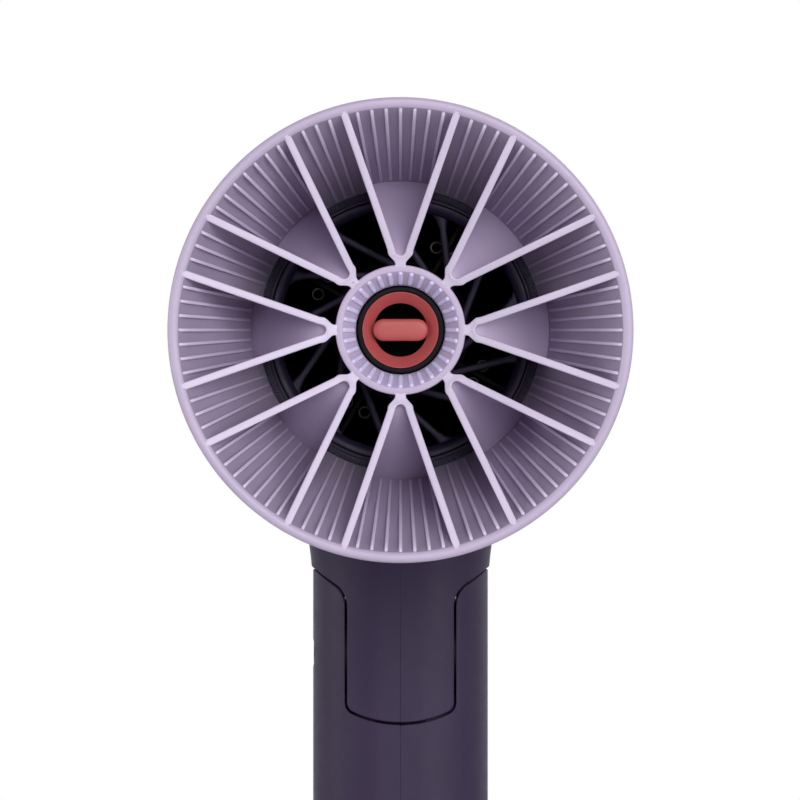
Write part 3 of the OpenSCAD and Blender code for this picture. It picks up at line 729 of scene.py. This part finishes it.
class HAIRDRYER_OT_finishes(bpy.types.Operator):
    """Makes the materials of every piece"""

    bl_idname = "hairdryer.finishes"
    bl_label = "Finishes"

    def execute(self, context):
        tones = context.scene.dryer_finishes
        # roughness from and to, grain per metre, relief, drift of the tone, specular
        moulded_plastic("lilac_plastic", tones.lilac, 0.36, 0.46, 2600, 0.10, 0.035, 0.5)
        # painted highlight for the walls' front faces
        moulded_plastic("painted_edge_highlight", tones.edge, 0.34, 0.44, 2600, 0.08, 0.03, 0.5)
        moulded_plastic("hub_rib_plastic", tones.hub_rib, 0.3, 0.4, 2600, 0.06, 0.03, 0.55)
        # painted shade: a darker lilac for the flared wall's inner faces, deep in the cup
        moulded_plastic("groove_painted_shade", shade(tones.lilac, 0.66), 0.5, 0.6, 2200, 0.16, 0.035, 0.4)
        moulded_plastic("port_black", shade(tones.inner, 0.3), 0.6, 0.7, 2200, 0.1, 0.1, 0.05)
        # the ribs get a painted highlight that grows towards the lip
        rib_painted_highlight("rib_painted_highlight", tones.lilac, tones.edge, THROAT_Y - 2 * MM, CUP_LOW[1])
        moulded_plastic("dark_plastic", tones.dark_purple, 0.47, 0.53, 3000, 0.12, 0.05, 0.22)
        moulded_plastic("grille_plastic", tones.grille_purple, 0.42, 0.5, 3000, 0.12, 0.06, 0.25)
        moulded_plastic("nozzle_plastic", tones.nozzle, 0.5, 0.6, 3000, 0.1, 0.08, 0.1)
        moulded_plastic("coral_plastic", tones.coral, 0.36, 0.46, 2600, 0.10, 0.05, 0.35)
        moulded_plastic("hidden_plastic", tones.inner, 0.5, 0.65, 2200, 0.15, 0.1, 0.15)
        moulded_plastic("circuit_board", tones.board, 0.35, 0.5, 1500, 0.1, 0.15, 0.5)
        # roughness from and to, marks per metre
        bare_metal("bare_steel", tones.steel, 0.25, 0.4, 1800)
        # painted shade: the hinge washers are nearly black so the seam over them looks dark
        bare_metal("seam_painted_shade_steel", shade(tones.steel, 0.04), 0.5, 0.6, 1800)
        bare_metal("screw_steel", shade(tones.steel, 0.22), 0.3, 0.45, 2200)
        bare_metal("oxidised_wire", tones.wire, 0.35, 0.55, 3000)
        bare_metal("filter_steel", shade(tones.steel, 0.7), 0.3, 0.45, 2500)
        # mica darkened to nearly black: painted shade for the heater deep inside the head
        mica_sheet("mica_board_painted_shade", tones.mica)
        return {"FINISHED"}


# the cup: distances d are in front of the throat

SLEEVE_BORE = 32.7
SLEEVE_RADIUS = 34.7
SLEEVE_BACK = -11.6
FLARE_START = 1
BELL_CREASE = 40
PETAL_RIB_START = 5.6
GAP_RIB_START = 1.7
RIB_STOP = 0.7
RIB_LOW = 0.1
RIB_SINK = 0.4
RIB_FALL = 4.5
AXIS_FACING = -0.85


def cone_slope(cup):
    """How much wider the flared wall is for each millimetre towards the lip."""
    top = (cup.rim_radius - cup.lip_width) / MM
    return (top - cup.throat_radius / MM) / (cup.depth / MM - FLARE_START)


def cone_radius(cup, d):
    """Radius of the flared wall at a distance before the throat."""
    return cup.throat_radius / MM + cone_slope(cup) * (d - FLARE_START)


def cone_depth(cup, r):
    """The distance before the throat at which the flared wall has a radius."""
    return FLARE_START + (r - cup.throat_radius / MM) / cone_slope(cup)


def faces_axis(face):
    """Whether a face of the cup looks at the air's axis."""
    out = Vector((face.center.x, 0, face.center.z - AXIS_Z)).normalized()
    return face.normal.dot(out) < AXIS_FACING


class HAIRDRYER_OT_bell(bpy.types.Operator):
    """Makes the flared wall of the cup, with its rounded lip, sleeve and ribs"""

    bl_idname = "hairdryer.bell"
    bl_label = "Cup Wall"

    def execute(self, context):
        cup = context.scene.dryer_cup
        rim = cup.rim_radius / MM
        front = cup.depth / MM
        throat = cup.throat_radius / MM
        wall = make_piece("cup_wall", Shape(revolved([
            (SLEEVE_BORE, SLEEVE_BACK, 0.25), (SLEEVE_RADIUS, SLEEVE_BACK, 0.5), (SLEEVE_RADIUS, 2, 9),
            (rim, front - 2.4, 2.5), (rim, front, cup.lip_round / MM),
            (rim - cup.lip_width / MM, front, cup.lip_sweep / MM), (throat, FLARE_START, 0.3),
            (throat, 0.2, 0.15), (SLEEVE_BORE, 0.2, 0.2),
        ], 480)), "lilac_plastic", BELL_CREASE)
        # faces that look at the axis, deep in the cup, get a darker lilac as painted shade
        second_finish(wall, "groove_painted_shade", faces_axis)

        end = front - RIB_STOP
        tip = (cone_radius(cup, end), end)
        rise = (RIB_LOW, cup.rib_height / MM)
        step = 2 * math.pi / cup.rib_places
        period = cup.rib_places // cup.petals
        first = math.pi / 2 - 3 * step
        parts = [wall]
        for name, start, low, high in (
            ("petal_ribs", PETAL_RIB_START, 0, 6), ("gap_ribs", GAP_RIB_START, 8, period - 2),
        ):
            foot = (cone_radius(cup, start), start)
            rib = Shape(bar(foot, tip, cup.rib_width / MM, rise, RIB_SINK, False, 4, RIB_FALL))
            # ribs in the painted-highlight finish, lighter towards the lip
            parts.append(round_the_axis(
                name, rib, "rib_painted_highlight", cup.rib_places, first, period, low, high))
        bell = joined("cup_bell", parts)
        bell.data.set_sharp_from_angle(angle=math.radians(BELL_CREASE))
        settle(bell, "cup", "lilac", "cup_shell")
        return {"FINISHED"}


# outlines of half a petal's wall near its stem, (x, y) from the hub's centre
SHOULDER = [(2.82, 17.1), (2.72, 16.7), (2.45, 16.27), (2.05, 15.85), (1.66, 15.44)]
POCKET_END = [(1.06, 17.2), (0.92, 16.88), (0.66, 16.62), (0.34, 16.46), (0.0, 16.42)]
STEM = [(1.38, 15.12), (1.24, 14.83), (1.18, 14.5), (1.24, 14.2), (1.45, 13.9), (1.6, 13.5)]
STEM_AXIS = [15.6, 15.1, 14.7, 14.3, 13.9, 13.5]
# a wall's straight run: its turn from the petal's axis, its shift, and its ends along it
WALL_ANGLE = math.radians(19.2)
WALL_OFFSET = 3.91
WALL_FAR = 49.2
WALL_NEAR = 17.6
WALL_STEPS = 30
WALL_SINK = 0.7
WALL_FOOT = 1.9
WALL_TUCK = 2.5
# a petal's floor: where it is level, where it meets the flared wall, and how it curves between
FLOOR_LEVEL = 16.5
CREASE = 32.8
FLOOR_CURVE = 1.5
FLOOR_ENDS = (15.6, 33.4)
FLOOR_ROWS = 24
FLOOR_HALF_COLUMNS = 6
FLOOR_SLAB = 1.5
FLOOR_TIP = 0.5
POCKET_DEPTH = 21.3
DISH = ((14.1, 22.0), (49.4, 44.0))
PETAL_CREASE = 38
FRONT_FACING = -0.6
# the hub's funnel, and one of its ribs from foot to tip
HUB_BORE = 9.8
HUB_MOUTH = 12.85
HUB_BACK = 12
HUB_THROAT = 17.7
HUB_FRONT = 22
HUB_RIB_FOOT = (10.2, 18.26)
HUB_RIB_TIP = (12.78, 21.88)
HUB_RIB_WIDTH = 1.12
HUB_RIB_HEIGHTS = (0.4, 0.6)


def dish_depth(r):
    """The walls' front edges, on a shallow cone from the hub to the lip."""
    (r0, d0), (r1, d1) = DISH
    return d0 + (d1 - d0) * (r - r0) / (r1 - r0)


def floor_depth(cup, r):
    """A petal's floor: nearly level at the hub, falling away to the crease."""
    low = cone_depth(cup, CREASE)
    share = max(0.0, (r - FLOOR_LEVEL) / (CREASE - FLOOR_LEVEL))
    return low + (POCKET_DEPTH - low) * (1 - share ** FLOOR_CURVE)


def wall_line(along, side):
    """A point of a petal's wall, at a distance along it and off its middle line."""
    across = side - WALL_OFFSET
    return (
        along * math.sin(WALL_ANGLE) + across * math.cos(WALL_ANGLE),
        along * math.cos(WALL_ANGLE) - across * math.sin(WALL_ANGLE),
    )


def inward(line, side):
    """Unit directions into the wall from each point of one of its outlines."""
    directions = []
    for i in range(len(line)):
        before = Vector(line[max(i - 1, 0)])
        after = Vector(line[min(i + 1, len(line) - 1)])
        run = (after - before).normalized()
        directions.append(Vector((run.y, -run.x)) * side)
    return directions


def petal_half(cup, sign):
    """One side of a petal's wall, from the lip to the middle of its stem, as two lofts."""
    edge = cup.wall_edge / MM
    half = cup.wall / MM / 2
    stops = [WALL_FAR - (WALL_FAR - WALL_NEAR) * i / WALL_STEPS for i in range(WALL_STEPS + 1)]
    outer = [wall_line(s, half) for s in stops] + SHOULDER
    inner = [wall_line(s, -half) for s in stops] + POCKET_END
    stem = outer[-1:] + STEM
    into_outer = inward(outer + STEM, 1)
    into_inner = inward(inner, -1)
    into_inner[-1] = Vector((0, -1))

    def bottom(p):
        """Where the wall's foot lies, sunk into the floor or the flared wall."""
        r = math.hypot(*p)
        if r > CREASE:
            return min(cone_depth(cup, r) - WALL_SINK, cup.depth / MM - WALL_TUCK)
        return floor_depth(cup, r) - WALL_FOOT

    def side(p, direction):
        """Points up one face of the wall and over its rounded edge."""
        top = min(dish_depth(math.hypot(*p)), cup.depth / MM)
        line = [(p[0], p[1], bottom(p)), (p[0], p[1], top - edge)]
        for turn in (30, 60, 90):
            move = edge * (1 - math.cos(math.radians(turn)))
            rise = edge * math.sin(math.radians(turn))
            line.append((p[0] + direction.x * move, p[1] + direction.y * move, top - edge + rise))
        return line

    sections = []
    for i in range(len(outer)):
        up = side(outer[i], into_outer[i])
        down = side(inner[i], into_inner[i])
        sections.append(up + down[::-1])
    axis_top = sections[-1][5]
    stem_sections = []
    for i, p in enumerate(stem):
        up = side(p, into_outer[len(outer) - 1 + i])
        y = axis_top[1] if i == 0 else STEM_AXIS[i - 1]
        top = axis_top[2] if i == 0 else dish_depth(y)
        stem_sections.append(up + [(0, y, top), (0, y, bottom((0, y)))])
    return [[[(sign * x, y, d) for x, y, d in s] for s in part] for part in (sections, stem_sections)]


def petal_floor(cup):
    """The sloping floor between a petal's walls, as a thin slab."""
    near, far = FLOOR_ENDS
    rows = []
    for i in range(FLOOR_ROWS + 1):
        y = near + (far - near) * i / FLOOR_ROWS
        along = (y - WALL_OFFSET * math.sin(WALL_ANGLE)) / math.cos(WALL_ANGLE)
        reach = max(wall_line(along, 0)[0], FLOOR_TIP)
        row = []
        for k in range(2 * FLOOR_HALF_COLUMNS + 1):
            x = reach * (k / FLOOR_HALF_COLUMNS - 1)
            row.append((x, y, floor_depth(cup, math.hypot(x, y))))
        rows.append(row + [(x, y, d - FLOOR_SLAB) for x, y, d in reversed(row)])
    return rows


def around_hub(shape, parts, count):
    """Adds lofts to a shape, repeated round the hub."""
    for k in range(count):
        angle = 2 * math.pi * k / count
        cos, sin = math.cos(angle), math.sin(angle)
        for sections in parts:
            turned = [[head_point(x * cos - y * sin, x * sin + y * cos, d) for x, y, d in s]
                      for s in sections]
            shape.add(*loft(turned))


class HAIRDRYER_OT_petals(bpy.types.Operator):
    """Makes the petals' walls and floors, and the ribbed hub they meet in"""

    bl_idname = "hairdryer.petals"
    bl_label = "Petals and Hub"

    def execute(self, context):
        cup = context.scene.dryer_cup
        hub = cup.hub_radius / MM
        shape = Shape()
        around_hub(shape, petal_half(cup, 1) + petal_half(cup, -1), cup.petals)
        walls = make_piece("petal_walls", shape, "lilac_plastic", PETAL_CREASE)
        # faces that look to the front get the lighter edge tone, a painted highlight
        second_finish(walls, "painted_edge_highlight", lambda face: face.normal.y < FRONT_FACING)
        shape = Shape()
        around_hub(shape, [petal_floor(cup)], cup.petals)
        shape.add(*revolved([
            (HUB_BORE, HUB_BACK, 0.2), (hub, HUB_BACK, 0.3), (hub, HUB_FRONT, 0.35),
            (HUB_MOUTH, HUB_FRONT, 0.35), (HUB_BORE, HUB_THROAT, 0.3),
        ], 192, 4))
        floors = make_piece("petal_floors", shape, "lilac_plastic", PETAL_CREASE)
        rib = Shape(bar(HUB_RIB_FOOT, HUB_RIB_TIP, HUB_RIB_WIDTH, HUB_RIB_HEIGHTS, RIB_SINK, True))
        ribs = round_the_axis("hub_ribs", rib, "hub_rib_plastic", cup.hub_ribs)
        petals = joined("petal_spider_detail", [walls, floors, ribs])
        petals.data.set_sharp_from_angle(angle=math.radians(PETAL_CREASE))
        settle(petals, "cup", "lilac", "petal_spider")
        return {"FINISHED"}


# the outlet

TICK_FOOT = (29.95, -0.1)
TICK_TIP = (31.25, -0.1)
TICK_WIDTH = 0.24
TICK_HEIGHTS = (0.22, 0.22)
TICK_SINK = 0.1
GRILLE_BACK = -7
SPOKE_BACK = -6
SPOKE_FRONT = -3
# a spoke's line passes the axis at an offset and ends inside the ring, where it swells
SPOKE_OFFSET = 12
SPOKE_END = 27.3
SPOKE_FIRST = math.radians(-6.8)
SPOKE_SWELL = 1.6
SWELL_START = 0.86


class HAIRDRYER_OT_outlet(bpy.types.Operator):
    """Makes the knurled snap ring and the swept outlet grille"""

    bl_idname = "hairdryer.outlet"
    bl_label = "Snap Ring and Grille"

    def execute(self, context):
        sizes = context.scene.dryer_outlet
        ring = make_piece("snap_ring_body", Shape(revolved([
            (31.2, SLEEVE_BACK, 0.1), (32.5, SLEEVE_BACK, 0.2), (32.5, -0.05, 0.3), (29.7, -0.05, 0.3),
            (29.7, -0.7, 0.1), (31.2, -0.7, 0), (31.2, -5.8, 0), (30.6, -6.0, 0.05),
            (30.6, -7.3, 0.05), (31.2, -7.7, 0),
        ], 240, 3)), "grille_plastic")
        tick = Shape(bar(TICK_FOOT, TICK_TIP, TICK_WIDTH, TICK_HEIGHTS, TICK_SINK, True, 2))
        ticks = round_the_axis("snap_ring_ticks", tick, "grille_plastic", sizes.knurl_ticks)
        settle(joined("snap_ring_detail", [ring, ticks]), "ring", "grille_purple", "snap_ring")

        outer = revolved([
            (26.5, GRILLE_BACK, 0.2), (28.9, GRILLE_BACK, 0.2), (28.9, -0.9, 0.25), (26.5, -0.9, 1.9),
        ], 240)
        inner = revolved([
            (9.6, GRILLE_BACK, 0.2), (13, GRILLE_BACK, 0.2), (13, -2, 0.6), (9.6, -2, 0.3),
        ], 120, 4)
        rings = make_piece("grille_rings", Shape(outer, inner), "grille_plastic")
        half = sizes.spoke_width / MM / 2
        section = rounded([
            (-half, SPOKE_BACK, 0.25), (half, SPOKE_BACK, 0.25), (half, SPOKE_FRONT, 0.45),
            (-half, SPOKE_FRONT, 0.45),
        ], 3)
        reach = math.sqrt(SPOKE_END ** 2 - SPOKE_OFFSET ** 2)
        stations = []
        for share in (0.0, 0.12, 0.5, SWELL_START, 0.95, 1.0):
            swell = 1 + SPOKE_SWELL * max(0.0, (share - SWELL_START) / (1 - SWELL_START)) ** 2
            stations.append([on_axis(SPOKE_OFFSET + a * swell, reach * share, d) for a, d in section])
        spokes = round_the_axis(
            "grille_spokes", Shape(loft(stations)), "grille_plastic", sizes.spokes, SPOKE_FIRST)
        settle(joined("outlet_grille_detail", [rings, spokes]), "head", "grille_purple", "outlet_grille")
        return {"FINISHED"}


# the bar across the ion port: how far its outline stands in at each distance
PILL_PROFILE = (
    (0.3, 15.9), (0, 16.2), (0, 17.6), (0.12, 17.9), (0.4, 18.15), (0.9, 18.27), (1.6, 18.3),
)
PILL_STEPS = 16


class HAIRDRYER_OT_ion_port(bpy.types.Operator):
    """Makes the dark nozzle, its coral dish and the bar across it"""

    bl_idname = "hairdryer.ion_port"
    bl_label = "Ion Port"

    def execute(self, context):
        sizes = context.scene.dryer_outlet
        tube = Shape(revolved([
            (8.5, -9, 0.1), (11, -9, 0.3), (11, -7.1, 0.3), (9.5, -7.1, 0.2), (9.5, 18.5, 0.2),
            (8.5, 18.5, 0.15),
        ], 160, 4))
        settle(make_piece("ion_nozzle_tube", tube, "nozzle_plastic"), "head", "dark_purple", "ion_nozzle")
        dish = Shape(revolved([
            (5.9, 13.5, 0.1), (8.4, 13.5, 0.1), (8.4, 18.2, 0.08), (8.25, 18.2, 0.08), (5.9, 15.9, 0.3),
        ], 160, 5))
        settle(make_piece("ion_dish", dish, "coral_plastic"), "head", "coral", "ion_port_dish")

        reach = (sizes.pill_length - sizes.pill_width) / MM / 2
        sections = []
        for inset, d in PILL_PROFILE:
            radius = sizes.pill_width / MM / 2 - inset
            ring = []
            for side in (1, -1):
                for k in range(PILL_STEPS + 1):
                    angle = side * math.pi / 2 - math.pi * k / PILL_STEPS
                    x = side * reach + radius * math.cos(angle)
                    ring.append(head_point(x, radius * math.sin(angle), d))
            sections.append(ring)
        pill = make_piece("ion_pill", Shape(loft(sections)), "coral_plastic", 50)
        settle(pill, "head", "coral", "ion_bridge")
        dress("port_black", "ion_needle")
        dress("hidden_plastic", "ion_module")
        return {"FINISHED"}


# inside: heater, motor and fan

# four pairs of coils round the axis, and a cloth before the filter mesh
COIL_PAIRS = 4
COIL_FIRST = 60
COIL_RING = 19.8
COIL_APART = 2.25
COIL_RADIUS = 1.2
COIL_BACK = -44.8
COIL_LENGTH = 33.6
WOUND_CREASE = 60
CLOTH = 0.3


def helix(centre, mean, pitch, turns, wire, place, sides=6, per_turn=16):
    """A wound wire of round section along a coil's axis."""
    sections = []
    count = turns * per_turn
    for i in range(count + 1):
        angle = 2 * math.pi * i / per_turn
        out = Vector((math.cos(angle), math.sin(angle), 0))
        run = Vector((-mean * math.sin(angle), mean * math.cos(angle), pitch / (2 * math.pi))).normalized()
        up = run.cross(out)
        middle = Vector(centre) + out * mean + Vector((0, 0, pitch * i / per_turn))
        ring = []
        for k in range(sides):
            around = 2 * math.pi * k / sides
            ring.append(place(*(middle + (out * math.cos(around) + up * math.sin(around)) * wire)))
        sections.append(ring)
    return loft(sections)


class HAIRDRYER_OT_inside(bpy.types.Operator):
    """Winds the heater coils and gives the heater, motor and fan their finishes"""

    bl_idname = "hairdryer.inside"
    bl_label = "Heater, Motor and Fan"

    def execute(self, context):
        sizes = context.scene.dryer_outlet
        wire = sizes.wire_radius / MM
        turns = sizes.coil_turns
        shape = Shape()
        for k in range(COIL_PAIRS):
            angle = math.radians(COIL_FIRST + 360 / COIL_PAIRS * k)
            for off in (-COIL_APART, COIL_APART):
                x = COIL_RING * math.cos(angle) - off * math.sin(angle)
                y = COIL_RING * math.sin(angle) + off * math.cos(angle)
                shape.add(*helix(
                    (x, y, COIL_BACK), COIL_RADIUS, COIL_LENGTH / turns, turns, wire, head_point))
        windings = make_piece("heater_windings", shape, "oxidised_wire", WOUND_CREASE)
        settle(windings, "head", "heater_wire", "heater_coils")
        # the mica is nearly black, painted shade for the inside of the head
        dress("mica_board_painted_shade", "heat_shield", "heater_former")
        dress("bare_steel", "thermostat", "thermal_fuse", "motor_can", "motor_shaft")
        dress("hidden_plastic", "motor_mount", "impeller")
        dress("filter_steel", "filter_mesh")
        low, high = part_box("filter_mesh")
        reach = (high[0] - low[0]) / MM / 2
        near = (THROAT_Y - low[1]) / MM
        cloth = Shape(revolved([
            (0, near, 0), (reach, near, 0), (reach, near + CLOTH, 0.1), (0, near + CLOTH, 0),
        ], 96, 3))
        settle(make_piece("filter_cloth", cloth, "hidden_plastic"), "head", "inner_plastic")
        return {"FINISHED"}


# head, hinge, handle and controls

INLET_BARS = 12
INLET_RIM = 3.8
INLET_RINGS = (10, 15, 20, 25)
INLET_BAR = 1.5
INLET_DEEP = 2.4
SPRING_WIRE = 0.32
SPRING_RADIUS = 2.6
SPRING_TURNS = 5


def inlet_grille():
    """The rear grille: a rim, four rings, a hub and twelve bars."""
    low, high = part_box("rear_grille")
    reach = (high[0] - low[0]) / MM / 2
    back = (THROAT_Y - high[1]) / MM
    deep = back + INLET_DEEP
    shape = Shape(revolved([
        (reach - INLET_RIM, back, 0.35), (reach - 1.5, back, 0.8), (reach, back + 1.5, 0.8),
        (reach, back + 2.9, 0.15), (reach - 2.2, back + 2.9, 0), (reach - 2.2, back + 6, 0.2),
        (reach - INLET_RIM, back + 6, 0.2),
    ], 192, 4))
    for inner in INLET_RINGS:
        outer = inner + INLET_BAR
        shape.add(*revolved([
            (inner, back, 0.45), (outer, back, 0.45), (outer, deep, 0.2), (inner, deep, 0.2),
        ], 144, 3))
    shape.add(*revolved([
        (0, back + 0.3, 0), (3.6, back + 0.3, 0.4), (4.1, back, 0.4), (5, back, 0.5),
        (5, deep, 0.2), (0, deep, 0),
    ], 96, 3))
    rings = make_piece("rear_grille_rings", shape, "grille_plastic")
    half = INLET_BAR / 2
    section = rounded([(-half, back, 0.45), (half, back, 0.45), (half, deep, 0.2), (-half, deep, 0.2)], 3)
    ends = [[on_axis(r, a, d) for a, d in section] for r in (4.4, reach - 3.2)]
    bars = round_the_axis("rear_grille_bars", Shape(loft(ends)), "grille_plastic", INLET_BARS)
    return joined("rear_grille_detail", [rings, bars])


class HAIRDRYER_OT_head(bpy.types.Operator):
    """Rounds the edges of the head's shells and makes the rear grille and the screws"""

    bl_idname = "hairdryer.head"
    bl_label = "Head"

    def execute(self, context):
        soften_shells("head")
        settle(inlet_grille(), "head", "grille_purple", "rear_grille")
        screws("head_screws", "head", lower_at_back=True)
        return {"FINISHED"}


class HAIRDRYER_OT_hinge(bpy.types.Operator):
    """Gives the hinge's pin, cap and washers their finishes"""

    bl_idname = "hairdryer.hinge"
    bl_label = "Hinge"

    def execute(self, context):
        dress("bare_steel", "hinge_pin")
        # painted shade: the washers are nearly black so the hinge's seam looks dark
        dress("seam_painted_shade_steel", "hinge_washers")
        soften("hinge_cap", "handle", "dark_purple", "nozzle_plastic", width=0.3)
        return {"FINISHED"}


class HAIRDRYER_OT_handle(bpy.types.Operator):
    """Rounds the edges of the handle's shells and its end cap, and makes the screws"""

    bl_idname = "hairdryer.handle"
    bl_label = "Handle"

    def execute(self, context):
        soften_shells("handle")
        soften("end_cap", "handle", "dark_purple", "dark_plastic", width=0.6, segments=3)
        screws("handle_screws", "handle", lower_at_back=False)
        dress("hidden_plastic", "cord_clamp")
        return {"FINISHED"}


class HAIRDRYER_OT_controls(bpy.types.Operator):
    """Rounds the switch plate, sliders and cool button, and winds the button's spring"""

    bl_idname = "hairdryer.controls"
    bl_label = "Controls"

    def execute(self, context):
        soften("switch_plate", "handle", "dark_purple", "nozzle_plastic", width=0.4)
        soften("speed_slider", "speed_knob", "lilac", "lilac_plastic", width=0.25)
        soften("heat_slider", "heat_knob", "lilac", "lilac_plastic", width=0.25)
        soften("cool_button", "cool_knob", "coral", "coral_plastic", width=0.4, segments=3)
        low = [c / MM for c in SPRING_LOW]
        high = [c / MM for c in SPRING_HIGH]
        middle_z = (low[2] + high[2]) / 2
        pitch = (high[1] - low[1] - 2 * SPRING_WIRE) / SPRING_TURNS
        coil = helix((0, 0, low[1] + SPRING_WIRE), SPRING_RADIUS, pitch, SPRING_TURNS, SPRING_WIRE,
                     lambda x, y, d: (x, d, middle_z + y))
        spring = make_piece("button_spring_detail", Shape(coil), "bare_steel", WOUND_CREASE)
        settle(spring, "handle", "steel", "button_spring")
        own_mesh(spring)
        dress("hidden_plastic", "button_switch", "switch_block")
        dress("circuit_board", "control_board")
        return {"FINISHED"}


# the studio

FLOOR_RADIUS = 1.1


def soft_lamp(name, power, place, aim, size):
    """A rectangular soft lamp that looks at a point."""
    lamp = bpy.data.lights.new(name, "AREA")
    lamp.energy = power
    lamp.shape = "RECTANGLE"
    lamp.size, lamp.size_y = size
    stand = add_object(name, lamp)
    stand.location = place
    stand.rotation_euler = (Vector(aim) - Vector(place)).to_track_quat("-Z", "Y").to_euler()


def seen_directly(tree):
    """1 where a camera, mirror or glass looks straight at a surface or the sky, otherwise 0."""
    path = add_node(tree, "ShaderNodeLightPath", {})
    seen = path["Is Camera Ray"]
    for ray in ("Is Glossy Ray", "Is Transmission Ray"):
        seen = add_node(tree, "ShaderNodeMath", {0: seen, 1: path[ray]}, operation="MAXIMUM")[0]
    return seen


class HAIRDRYER_OT_studio(bpy.types.Operator):
    """Sets up the camera, the soft lamps, the white surround and the pale floor"""

    bl_idname = "hairdryer.studio"
    bl_label = "Studio"

    def execute(self, context):
        scene = context.scene
        studio = scene.dryer_studio
        scene.view_settings.view_transform = "Standard"

        view = bpy.data.cameras.new("photo_view")
        view.lens = studio.lens
        view.sensor_width = 36
        view.sensor_fit = "HORIZONTAL"
        view.shift_x = studio.shift_x
        view.shift_y = studio.shift_y
        view.clip_start = 0.05
        view.clip_end = 200
        camera = add_object("photo_view", view)
        camera.location = (0, CUP_LOW[1] - studio.distance, AXIS_Z)
        camera.rotation_euler = (math.pi / 2, 0, 0)
        scene.camera = camera

        middle = (0, -0.03, 0.14)
        grip = (0, 0, 0.07)
        soft_lamp("front_lamp", studio.front, (0.4, -1.85, 0.65), middle, (0.9, 0.9))
        soft_lamp("key_lamp", studio.key, (1.25, -1.5, 0.4), middle, (0.6, 0.8))
        soft_lamp("right_lamp", 0.35 * studio.fill, (1.6, -0.75, 0.15), middle, (0.5, 1.2))
        soft_lamp("left_lamp", 1.1 * studio.fill, (-1.55, -1.3, 0.15), middle, (0.5, 1.2))
        soft_lamp("edge_lamp", 1.2 * studio.fill, (-1.6, -0.22, 0.1), grip, (0.3, 1.0))
        soft_lamp("back_lamp", studio.fill, (0.3, 1.2, 0.9), middle, (0.9, 0.7))

        world = bpy.data.worlds.new("white_surround")
        world.use_nodes = True
        tree = world.node_tree
        feed(tree, tree.nodes["Background"], {
            "Strength": between(tree, seen_directly(tree), studio.sky, 1, 0, 1), "Color": (1, 1, 1, 1),
        })
        scene.world = world

        ground = bpy.data.meshes.new("floor")
        body = bmesh.new()
        bmesh.ops.create_circle(body, cap_ends=True, segments=96, radius=FLOOR_RADIUS)
        body.to_mesh(ground)
        body.free()
        floor = add_object("floor", ground)
        finish, tree, shader, place = new_finish("pale_floor")
        drift = noise(tree, place, 3, 2)
        feed(tree, shader, {
            "Base Color": two_tone(tree, drift, (0.8, 0.8, 0.8), (0.84, 0.84, 0.84)), "Roughness": 0.7,
        })
        ground.materials.append(finish)
        return {"FINISHED"}


class HAIRDRYER_PT_panel(bpy.types.Panel):
    """Lists the steps that dress the dryer, and their sizes"""

    bl_idname = "HAIRDRYER_PT_panel"
    bl_label = "Travel Hair Dryer"
    bl_space_type = "VIEW_3D"
    bl_region_type = "UI"
    bl_category = "Hair Dryer"

    def draw(self, context):
        for step in STEPS:
            self.layout.operator(step.bl_idname)
        for group in GROUPS:
            sizes = getattr(context.scene, group)
            for name in sizes.bl_rna.properties.keys():
                if name not in ("rna_type", "name"):
                    self.layout.prop(sizes, name)


GROUPS = {
    "dryer_cup": CupSizes,
    "dryer_outlet": OutletSizes,
    "dryer_finishes": Finishes,
    "dryer_studio": StudioSizes,
}
STEPS = (
    HAIRDRYER_OT_studio,
    HAIRDRYER_OT_finishes,
    HAIRDRYER_OT_bell,
    HAIRDRYER_OT_petals,
    HAIRDRYER_OT_outlet,
    HAIRDRYER_OT_ion_port,
    HAIRDRYER_OT_inside,
    HAIRDRYER_OT_head,
    HAIRDRYER_OT_hinge,
    HAIRDRYER_OT_handle,
    HAIRDRYER_OT_controls,
)


def register():
    for group in GROUPS.values():
        bpy.utils.register_class(group)
    for name, group in GROUPS.items():
        setattr(bpy.types.Scene, name, PointerProperty(type=group))
    for step in STEPS:
        bpy.utils.register_class(step)
    bpy.utils.register_class(HAIRDRYER_PT_panel)


def unregister():
    bpy.utils.unregister_class(HAIRDRYER_PT_panel)
    for step in reversed(STEPS):
        bpy.utils.unregister_class(step)
    for name, group in reversed(GROUPS.items()):
        delattr(bpy.types.Scene, name)
        bpy.utils.unregister_class(group)


def main():
    register()
    bpy.ops.hairdryer.studio()
    bpy.ops.hairdryer.finishes()
    bpy.ops.hairdryer.bell()
    bpy.ops.hairdryer.petals()
    bpy.ops.hairdryer.outlet()
    bpy.ops.hairdryer.ion_port()
    bpy.ops.hairdryer.inside()
    bpy.ops.hairdryer.head()
    bpy.ops.hairdryer.hinge()
    bpy.ops.hairdryer.handle()
    bpy.ops.hairdryer.controls()


if __name__ == "__main__":
    main()
